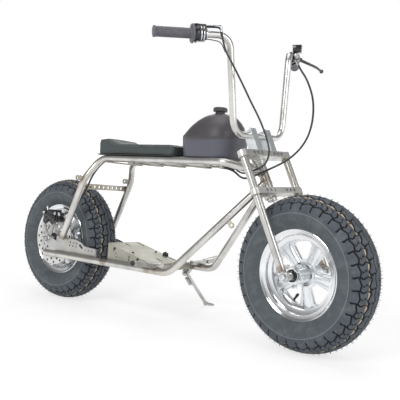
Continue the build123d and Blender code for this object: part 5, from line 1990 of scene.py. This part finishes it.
@dataclass
class Fork:
    """The fork: its clamps, legs, axle and what is welded and bolted to them."""

    offset: float = 27.9
    leg_half: float = 111.0
    tube: float = 12.7
    lower: float = 274.0
    upper: float = 403.0

    def build(self) -> None:
        """Dresses the fork and adds its welds, bolts, guide and the bar clamps' bolts."""
        spots = [BIKE.fork(self.offset, side * self.leg_half, up) for side in (-1, 1)
                 for up in (22.0, self.lower, self.upper)]
        spots += [BIKE.fork(0, 0, self.lower), BIKE.fork(0, 0, self.upper)]
        heat = tuple(tuple(round(c, 4) for c in BIKE.steered @ spot) for spot in spots)
        steel = BareSteel("fork_steel", heat=heat, heat_reach=0.024)
        steel.dress("fork_leg_left", "fork_leg_right", "handlebar", "steering_stem")
        clamps = BareSteel("fork_clamp_steel", (0.80, 0.80, 0.78), (0.56, 0.56, 0.54),
                           (0.50, 0.46, 0.39), 0.30, heat=heat, heat_reach=0.014)
        clamps.dress("upper_fork_clamp", "lower_fork_clamp")
        Bright("axle_zinc", (0.66, 0.66, 0.65), (0.42, 0.41, 0.39), 0.24).dress("front_axle")
        Bright("clamp_alloy", (0.86, 0.89, 0.91), (0.70, 0.75, 0.78), 0.26).dress("bar_clamps")
        self.welds()
        self.bolts()
        self.guide()

    def welds(self) -> None:
        """Lays the beads round the legs at the clamps and over the drop-outs."""
        shape = Shape()
        for side in (-1, 1):
            for up in (self.lower - 10.3, self.lower + 10.3, self.upper - 10.3, self.upper + 10.3):
                line = ring_line(BIKE.fork(self.offset, side * self.leg_half, up), BIKE.axis, self.tube + 1.0)
                shape.weld(line, 2.3, True, 7 + side)
            foot = BIKE.fork(self.offset, side * self.leg_half, 21.0)
            for shift in (-1, 1):
                edge = foot + Vector((0, shift * 6.2, 0))
                shape.weld([edge - BIKE.across * 9.5, edge + BIKE.across * 9.5], 2.2, seed=11)
        for up in (self.lower - 10.2, self.upper + 10.2):
            shape.weld(ring_line(BIKE.fork(0, 0, up), BIKE.axis, 15.0), 1.9, True, 5)
        steel = BareSteel("fork_weld", (0.48, 0.42, 0.34), (0.28, 0.24, 0.20), (0.50, 0.36, 0.18), 0.36)
        shape.make("fork_welds", ON_BARS, steel, Slot.RAW, sharp=80)

    def bolts(self) -> None:
        """Adds the bar clamps' bolts, the axle's washers and the small drop-out bolts."""
        shape = Shape()
        for side in (-1, 1):
            for forward in (-12.0, 12.0):
                for shift in (-8.5, 8.5):
                    foot = BIKE.fork(self.offset + forward, side * 37.0 + shift, 490.0)
                    shape.bolt(foot, BIKE.axis, 3.2, 3.6, True)
            end = BIKE.fork(self.offset, side * 115.5, 0)
            out = Vector((0, side, 0))
            shape.lathe(end, out, [(15.5, 0.0), (15.5, 1.6), (9.0, 1.9)], 36)
            shape.lathe(end + out * 7.8, out, [(9.6, 0.0), (9.2, 0.8), (6.4, 1.1)], 24)
            shape.bolt(BIKE.fork(self.offset - 15, side * 115.4, -10), out, 3.0, 3.0)
        shape.bolt(BIKE.fork(0, 0, 422.5), BIKE.axis, 8.0, 3.0)
        shape.make("fork_bolts", ON_BARS, Bright("fork_zinc"), Slot.MACHINED, sharp=32)

    def guide(self) -> None:
        """Adds the two eared wire guides, one on the lower clamp and one under it."""
        shape = Shape()
        for spot, way in ((BIKE.fork(8.0, -60.0, self.lower + 10), BIKE.axis),
                          (BIKE.fork(20.0, -30.0, self.lower - 10), -BIKE.axis)):
            shape.tube(ring_line(spot + way * 11, BIKE.across, 6.0, 28), 2.0, 8, True)
            shape.tube([spot, spot + way * 5.5], 2.6, 10)
        shape.make("wire_guides", ON_BARS, BareSteel("guide_steel", gloss=0.24), Slot.RAW, sharp=60)


@dataclass
class Bars:
    """The handlebar's grips, throttle housing, brake master and lever."""

    clamp: float = 470.0
    head: Point = (5.0, 156.0, 301.0)
    end: Point = (125.0, 362.0, 291.0)
    grip: float = 116.0
    flange: Pairs = ((28.5, -0.6), (29.6, 1.2), (29.6, 3.0), (28.2, 4.8), (12.0, 4.8))
    plain_end: Pairs = ((20.0, -1.6), (20.0, 0.0), (12.0, 0.0))

    def spots(self, side: int) -> tuple[Vector, Vector]:
        """Gives the bar's tip on one side and the direction inward along it.

        Args:
            side: 1 for the left and -1 for the right.

        Returns:
            The tip and the direction.
        """
        foot = BIKE.fork(BIKE.offset, 0, self.clamp)
        tip = foot + Vector((-self.end[0], side * self.end[1], self.end[2]))
        bend = foot + Vector((-self.head[0], side * self.head[1], self.head[2]))
        return tip, (bend - tip).normalized()

    def build(self) -> None:
        """Makes both grips and the controls beside them."""
        self.grips()
        self.housing()
        self.master()

    def grips(self) -> None:
        """Makes the ribbed grips with their flanges and end knobs."""
        rubber = Dull("grip_rubber", (0.165, 0.158, 0.184), (0.100, 0.095, 0.112), 0.48, 800.0, 0.00010)
        grips = ((-1, "right_grip_ribbed", "throttle_grip"), (1, "left_grip_ribbed", "left_grip"))
        for side, name, node in grips:
            tip, inward = self.spots(side)
            outline = [(0.01, -4.0), (13.0, -4.0), (16.8, -2.8), (17.8, 0.5), (17.2, 3.0), (15.6, 4.2)]
            for number in range(24):
                low = 7.0 + number * 4.2
                outline += [(15.2, low), (16.0, low + 0.7), (16.0, low + 2.6), (15.2, low + 3.3)]
            outline += [(15.4, self.grip - 6), (17.5, self.grip - 3)]
            outline += [(r, self.grip + place) for r, place in (self.flange if side < 0 else self.plain_end)]
            grip = Shape().lathe(tip, inward, outline, 64)
            grip.make(name, ON_BARS, rubber, Slot.RUBBER, (node,), sharp=45)

    def housing(self) -> None:
        """Dresses the throttle housing and adds its ribs, screws, clamp and wire."""
        black = Dull("housing_black", (0.016, 0.016, 0.018), (0.008, 0.008, 0.009), 0.30, coat=0.3, speck=0.2)
        black.dress("throttle_housing")
        tip, inward = self.spots(-1)
        up = (UP - inward * inward.z).normalized()
        out = inward.cross(up)
        start = tip + inward * (self.grip + 6.5)
        shell = [(12.0, 0), (21.8, 0.2), (23.0, 1.6), (23.0, 13.5), (21.2, 15.4), (12.0, 15.6)]
        body = Shape().lathe(start, inward, shell, 48)
        body.block(start + inward * 8 + up * 20, (inward, out, up), (15.0, 27.0, 17.0), 0.12)
        body.block(start + inward * 21 + up * 21, (inward, out, up), (17.0, 22.0, 13.0), 0.2)
        body.block(start + inward * 9 - up * 19, (inward, out, up), (12.0, 16.0, 12.0), 0.1)
        body.make("throttle_body", ON_BARS, black, Slot.BLACK, bevel=1.6, sharp=30)
        metal = Shape()
        collar = [(12.0, 0), (15.6, 0.2), (16.2, 1.2), (16.2, 8.0), (15.4, 9.2), (12.0, 9.4)]
        metal.lathe(start + inward * 31.8, inward, collar, 40)
        for low, high in ((18.0, 23.0), (26.5, 31.0)):
            flat = [(sin(t), cos(t)) for t in turns(40)]
            rows = []
            for spot, grow in ((low, -0.6), (low + 0.8, 0.9), (high - 0.8, 0.9), (high, -0.6)):
                reach = [(min(1.0, 1.0 / (abs(x) ** 4 + abs(y) ** 4) ** 0.25), x, y) for x, y in flat]
                rows.append([start + inward * spot + out * x * r * (17.4 + grow) * 1.16
                             + up * y * r * (20.4 + grow) * 1.16 for r, x, y in reach])
            metal.grid(rows)
        for shift, drop in ((-9, -1), (9, -1), (-8, 1), (8, 1)):
            foot = start + inward * 8 + out * shift + up * (28.0 if drop > 0 else -24.5)
            metal.bolt(foot, up * drop, 2.5, 2.6, True)
        boot = [start + inward * along - up * down for along, down in ((30, 13), (33, 19), (28, 24))]
        metal.tube(curve_through(boot), 3.0)
        to_fork = BIKE.steered.inverted() @ BIKE.level
        exit_spot, next_spot = (to_fork @ Vector(p) for p in Cords.throttle[:2])
        rise = (exit_spot - next_spot).normalized()
        root = tip + inward * (self.grip + 38.5) + Vector((0, 0, 23.0))
        elbow = [root, root + inward * 14, exit_spot + rise * 20 - inward * 5, exit_spot + rise * 11,
                 exit_spot + rise * 0.5]
        metal.tube(curve_through(elbow, 8), 4.7, 14)
        metal.make("throttle_metal", ON_BARS, Bright("throttle_zinc", gloss=0.18), Slot.CONTROL, sharp=35)
        knots = [start + inward * 30 - up * 14, start + inward * 62 - up * 17, start + inward * 86 - up * 24,
                 start + inward * 100 - up * 52 + out * 3]
        wire = Shape().tube(curve_through(knots, 8), 1.6, 8)
        wire.make("switch_wire", ON_BARS, Cords.sheath, Slot.RUBBER, sharp=70)

    def master(self) -> None:
        """Makes the brake master with its reservoir, banjo and clamp, and the ball-ended lever."""
        tip, inward = self.spots(1)
        out = inward.cross(UP).normalized()
        reservoir = tip + inward * (self.grip + 28) + Vector((24, 0, 26))
        body = reservoir + Vector((2, 0, -28))
        gloss = Dull("master_black", (0.012, 0.012, 0.014), (0.006, 0.006, 0.007), 0.22, coat=0.4, speck=0.12)
        shape = Shape()
        shape.block(reservoir + UP * 2, (inward, out, UP), (36, 30, 20), -0.04)
        shape.block(reservoir + UP * 13, (inward, out, UP), (38.5, 32.5, 4.5))
        shape.block(body, (inward, out, UP), (50, 17, 15))
        barrel = [(0.01, -3), (6, -3), (9.5, 0), (9.5, 38), (8.6, 41), (8.6, 54), (6.0, 57), (0.01, 57)]
        shape.lathe(body - inward * 25, inward, barrel, 32)
        clamp = [(11.3, 0), (17.4, 0), (18.2, 1.5), (18.2, 24.5), (17.4, 26), (11.3, 26)]
        shape.lathe(tip + inward * (self.grip + 15), inward, clamp, 40, True)
        shape.block(tip + inward * (self.grip + 28) + Vector((14, 0, -2)), (inward, out, UP), (24, 14, 18))
        shape.block(body - inward * 30 + out * 4, (inward, out, UP), (24, 22, 17), 0.1)
        shape.block(body + inward * 2 + out * 13 - UP * 3, (inward, out, UP), (30, 12, 13), 0.15)
        stop = [(11.3, 0), (21.0, 0), (22.4, 2.0), (22.4, 7.0), (20.0, 9.0), (11.3, 9.0)]
        shape.lathe(tip + inward * (self.grip + 1), inward, stop, 40, True)
        shape.make("master_cylinder", ON_BARS, gloss, Slot.BLACK, ("brake_master",), bevel=1.4, sharp=35)
        metal = Shape()
        for a, b in ((-14, -12), (14, 12), (-14, 12), (14, -12)):
            metal.bolt(reservoir + UP * 15.0 + inward * a + out * b, UP, 2.2, 1.8, True)
        banjo = BIKE.steered.inverted() @ (BIKE.level @ Vector(Cords.hose[0]))
        under = BIKE.steered.inverted() @ (BIKE.level @ Vector(Cords.hose[1]))
        run = (under - banjo).normalized()
        stem = [(5.4, 0), (6.4, 1.0), (6.4, 9.0), (4.6, 11.0), (4.4, 24.0), (3.6, 25.0)]
        metal.lathe(banjo - run * 5, run, stem, 24).bolt(body + inward * 31, inward, 6.4, 5.0)
        zinc = Bright("banjo_zinc", (0.60, 0.61, 0.62), (0.36, 0.37, 0.38))
        metal.make("master_fittings", ON_BARS, zinc, Slot.CONTROL, sharp=32)
        self.lever(inward, body)

    def lever(self, inward: Vector, body: Vector) -> None:
        """Makes the flat, bent brake lever with a ball at its end.

        Args:
            inward: The direction inward along the bar.
            body: The middle of the master's body.
        """
        foot = BIKE.fork(BIKE.offset, 0, self.clamp)
        across = Vector((-inward.y, inward.x, 0)).normalized()
        pivot = body - inward * 33.3 + across * 7
        bend, tip = Vector((foot.x - 10, 292.0, foot.z + 279)), Vector((foot.x - 4, 361.0, foot.z + 263))
        line = curve_through([pivot, pivot.lerp(bend, 0.55), bend,
                              bend.lerp(tip, 0.5) + Vector((3, 0, 1)), tip], 10)
        rows = []
        for i, here in enumerate(line):
            run = (line[min(i + 1, len(line) - 1)] - line[max(0, i - 1)]).normalized()
            side = run.cross(UP).normalized()
            tall = run.cross(side)
            share = i / (len(line) - 1)
            wide, thick = 6.6 - 2.0 * share + 1.4 * sin(share * pi) ** 2, 5.4 - 1.2 * share
            rows.append([here + side * wide * cos(t) * 0.75 + tall * thick * sin(t) for t in turns(16)])
        shape = Shape().grid(rows).lid(rows[0], True)
        ball = [(7.6 * sin(pi * i / 12) + 0.01, -7.6 * cos(pi * i / 12)) for i in range(13)]
        shape.lathe(tip, (line[-1] - line[-2]), ball, 24)
        shape.lathe(pivot, UP, [(7.2, -6.4), (8.2, -5.4), (8.2, 5.4), (7.2, 6.4)], 28)
        shape.bolt(pivot + Vector((0, 0, 6.2)), UP, 3.2, 2.6)
        dark = Dull("lever_black", (0.075, 0.078, 0.082), (0.040, 0.042, 0.045), 0.30, coat=0.3, speck=0.35)
        shape.make("lever_blade", ON_BARS, dark, Slot.CONTROL, ("brake_lever",), sharp=45)


@dataclass
class RearBrake:
    """The caliper over the drilled disc, the axle's ends and the fixed brake line."""

    caliper_up: float = 94.0
    radius: float = 244.0
    face: float = 78.0
    back: float = 103.3

    def build(self) -> None:
        """Dresses the disc, sprocket and axle, and makes the caliper and its fittings."""
        rear = joint("rear_wheel_spin")
        centre, axle = tuple(rear["pos_m"]), tuple(rear["axis"])
        # the disc's drilled holes get spots of painted shade
        Turned("disc_steel", centre, axle, drills=((0.082, 0.0), (0.095, 10.0))).dress("brake_disc")
        Turned("sprocket_steel", centre, axle, (0.45, 0.44, 0.42), 0.9).dress("rear_sprocket")
        Bright("rear_axle_zinc", (0.62, 0.61, 0.58), (0.40, 0.38, 0.34), 0.28).dress("rear_axle")
        Cords.sheath.dress("brake_line")
        self.caliper()
        self.bracket()

    def bracket(self) -> None:
        """Makes the caliper's forked bracket with an eye round the spacer, and its black upper plate."""
        up = self.radius
        eye = [(20 * cos(t), 20 * sin(t)) for t in np.linspace(0.0, -pi, 13)]
        fork = [(-19, 16), (-34, 66), (-33, 80), (-12, 80), (-12, 70), (-22, 66), (-9, 30), (0, 25),
                (10, 30), (25, 66), (15, 70), (15, 80), (36, 80), (38, 70), (20, 18)]
        plane = (Vector((0, -105.8, 0)), AHEAD, UP)
        arm = plate("caliper_arm", [[(x, y + up) for x, y in fork + eye], circle(0, up, 15.0, 32)],
                    plane, 4.6, 0.7, BIKE.level)
        steel = BareSteel("bracket_steel", (0.50, 0.50, 0.49), (0.34, 0.34, 0.33), (0.44, 0.40, 0.33), 0.30)
        settle(arm, steel, Body.FRAME, ("caliper_bracket",))
        black = Dull("bracket_black", (0.014, 0.014, 0.016), (0.007, 0.007, 0.008), 0.24, coat=0.4, speck=0.1)
        shape = Shape()
        shape.block(Vector((0, -105.8, up + 88)), (AHEAD, UP, -LEFT), (70, 21, 5.4), 0.0)
        for x in (-21.0, 22.0):
            foot = Vector((x, -105.0, up + 74))
            boss = [(15.5, 0), (15.5, 3.6), (13.5, 5.6), (8.0, 6.2), (7.4, 5.0), (0.01, 5.0)]
            shape.lathe(foot, -LEFT, boss, 36)
        shape.make("caliper_plate", ON_FRAME, black, Slot.BLACK, bevel=1.4, sharp=32)

    def caliper(self) -> None:
        """Makes the two-piston caliper with its bridge, pistons, bleed nipple and banjo."""
        right = -LEFT
        middle = Vector((0, 0, self.radius + self.caliper_up))
        thick = self.back - self.face
        shape = Shape()
        out = middle + right * (self.face + thick / 2)
        shape.block(out + UP * 2, (AHEAD, UP, right), (70, 40, thick), 0.14)
        shape.block(middle + right * 64.0 - UP * 4, (AHEAD, UP, right), (66, 34, 11), 0.0)
        shape.block(middle + right * 78.0 + UP * 19, (AHEAD, right, UP), (50, 30, 9), 0.1)
        for x in (-20.0, 20.0):
            shape.lathe(out + AHEAD * x - UP * 7 + right * (thick / 2 - 4), right,
                        [(21.0, -14), (20.6, 2.0), (19.0, 4.2), (11.0, 4.8), (10.4, 3.6), (0.01, 3.6)], 40)
        for x in (-34.0, 34.0):
            shape.lathe(out + AHEAD * x + UP * 10 - right * thick / 2, right,
                        [(8.0, 0), (8.4, 2), (8.4, thick + 3), (7.0, thick + 5)], 24)
        shape.block(out + AHEAD * -48 + UP * 17, (AHEAD, UP, right), (30, 10, 9), 0.2)
        gloss = Dull("caliper_black", (0.016, 0.016, 0.018), (0.008, 0.008, 0.009), 0.20, coat=0.5,
                     speck=0.12)
        shape.make("caliper_body", ON_FRAME, gloss, Slot.BLACK, ("brake_caliper",), bevel=2.6, sharp=32)
        metal = Shape()
        metal.bolt(Vector((40.6, -91.0, 345.0)) + right * 5, right, 6.6, 4.0)
        metal.lathe(Vector((40.6, -91.0, 345.0)), right, [(8.0, -3), (8.6, -2), (8.6, 4), (8.0, 5)], 24)
        metal.lathe(out + AHEAD * -30 + UP * 20, (UP * 0.9 - AHEAD * 0.45).normalized(),
                    [(4.2, 0), (4.2, 5), (3.0, 6), (3.0, 11), (3.8, 12), (3.8, 15), (2.0, 16)], 14)
        for x in (-34.0, 34.0):
            metal.bolt(out + AHEAD * x + UP * 10 + right * (thick / 2 + 4.6), right, 4.4, 3.6, True)
        metal.make("caliper_bolts", ON_FRAME, Bright("caliper_zinc", gloss=0.18), Slot.MACHINED, sharp=32)
        ends = Shape()
        for side in (-1, 1):
            foot = Vector((0, side * 122.4, self.radius))
            way = Vector((0, side, 0))
            ends.lathe(foot - way * 8.1, way, [(17.5, 0), (17.5, 1.8), (14.0, 2.2)], 36)
            nut = [(9.6, 0), (9.8, 5.0), (8.0, 7.0), (5.0, 7.4), (4.4, 6.0), (0.01, 6.0)]
            ends.lathe(foot + way * 0.1, way, nut, 28)
        ends.make("rear_axle_ends", ON_FRAME, Bright("axle_end_zinc"), Slot.MACHINED, sharp=32)


@dataclass
class Pegs:
    """The two folding foot pegs with serrated edges and hinge pins."""

    place: float = 606.0
    tilt: float = 7.0
    seat: float = 205.7
    start: float = 146.0
    length: float = 100.0

    def build(self) -> None:
        """Makes both pegs in place of the plain ones."""
        peg = BareSteel("peg_steel", (0.68, 0.68, 0.67), (0.46, 0.46, 0.46), (0.56, 0.53, 0.47), 0.24)
        for side, name, inner in ((-1, "right", 100.0), (1, "left", 70.0)):
            way = Vector((0, side * cos(radians(self.tilt)), sin(radians(self.tilt))))
            up = AHEAD.cross(way) * (-1 if side < 0 else 1)
            up = up if up.z > 0 else -up
            root = Vector((self.place, side * self.start, self.seat + 7))
            shape = Shape()
            middle = Vector((self.place, side * (inner + self.start) / 2, self.seat + 7))
            shape.block(middle, (AHEAD, LEFT, UP), (21.0, self.start - inner, 13.4))
            shape.lathe(root - way * 2, way, [(0.01, 0), (8.5, 0), (9.0, 2), (9.0, 12), (7.0, 14)], 28)
            centre = root + way * (self.length / 2 + 2)
            shape.block(centre, (AHEAD, up, way), (21.0, 13.0, self.length - 6))
            for edge in (-1, 1):
                for number in range(13):
                    foot = root + way * (9 + number * 7.0) + AHEAD * edge * 11.4
                    shape.block(foot, (AHEAD, way, up), (6.4, 4.6, 15.5), 0.5)
                    shape.block(foot, (AHEAD, way, -up), (6.4, 4.6, 15.5), 0.5)
                shape.block(centre + AHEAD * edge * 10.6, (AHEAD, up, way), (4.4, 9.0, self.length - 6))
            shape.make(f"{name}_peg", ON_FRAME, peg, Slot.PEG, (f"footpeg_{name}",), bevel=0.8, sharp=30)
            knob = [(9.2, 0), (9.4, 1), (9.4, 3.6), (8.4, 4.8), (0.01, 4.8)]
            end = Shape().lathe(root + way * (self.length - 2), way, knob, 28)
            end.lathe(root + AHEAD * -11 + way * 4, AHEAD, [(3.4, 0), (3.4, 22)], 16)
            end.make(f"{name}_peg_end", ON_FRAME, Dull("peg_end_black", coat=0.2), Slot.PEG, sharp=40)


@dataclass
class Stand:
    """The side stand's spring, pin and hinge bolt."""

    pivot: Point = (550.0, 108.0, 170.0)

    def build(self) -> None:
        """Dresses the stand and adds its coil spring and pin head."""
        steel = BareSteel("stand_steel", (0.60, 0.60, 0.58), (0.40, 0.40, 0.39), (0.46, 0.42, 0.36), 0.28)
        steel.dress("side_stand")
        fold = joint("side_stand_fold")
        axis = (BIKE.level.to_3x3().inverted() @ Vector(fold["axis"])).normalized()
        pivot = Vector(self.pivot)
        run = axis.cross(AHEAD)
        run = (run if run.z < 0 else -run).normalized()
        head = Shape().lathe(pivot - axis * 11.8, -axis, [(8.8, 0), (8.8, 2.2), (7.4, 3.2), (0.01, 3.4)], 28)
        head.bolt(pivot + axis * 12.0, axis, 5.0, 1.6)
        zinc = Bright("pin_zinc", (0.50, 0.49, 0.46), (0.32, 0.31, 0.29))
        head.make("stand_pin_head", ON_FRAME, zinc, Slot.RAW)
        first = pivot + run * 20 - axis * 12.5
        side, other = frame_of(run)
        line = [first + run * (t * 0.34) + (side * cos(t * 0.9) + other * sin(t * 0.9)) * 4.6
                for t in np.arange(0, 112, 0.45)]
        spring = Shape().tube(line, 1.15, 6)
        spring.tube([line[-1], line[-1] + run * 5 + axis * 4, line[-1] + run * 8 + axis * 8], 1.1, 8)
        spring.tube([line[0], line[0] - run * 5 + axis * 3, line[0] - run * 8 + axis * 6], 1.1, 8)
        spring.make("stand_spring", ON_STAND, steel, Slot.RAW, sharp=80)


def main() -> None:
    """Builds the studio, the cords and each sub-assembly."""
    logging.basicConfig(level=logging.INFO, format="%(name)s: %(message)s")
    Studio().build()
    Cords().build()
    front, rear = Mount(Body.FRONT_WHEEL, BIKE.steered), Mount(Body.REAR_WHEEL, BIKE.level)
    Wheel("front", front, Vector((BIKE.wheelbase, 0, BIKE.tyre_radius))).build()
    # the rear casting gets painted shade behind its brake disc
    Wheel("rear", rear, Vector((0, 0, BIKE.tyre_radius)), window_start=90.0, dust_and_shade=0.94).build()
    Frame().build()
    Fork().build()
    EnginePlate().build()
    RearBrake().build()
    Seat().build()
    Tank().build()
    Bars().build()
    Pegs().build()
    Stand().build()
    bpy.context.view_layer.update()


if __name__ == "__main__":
    main()
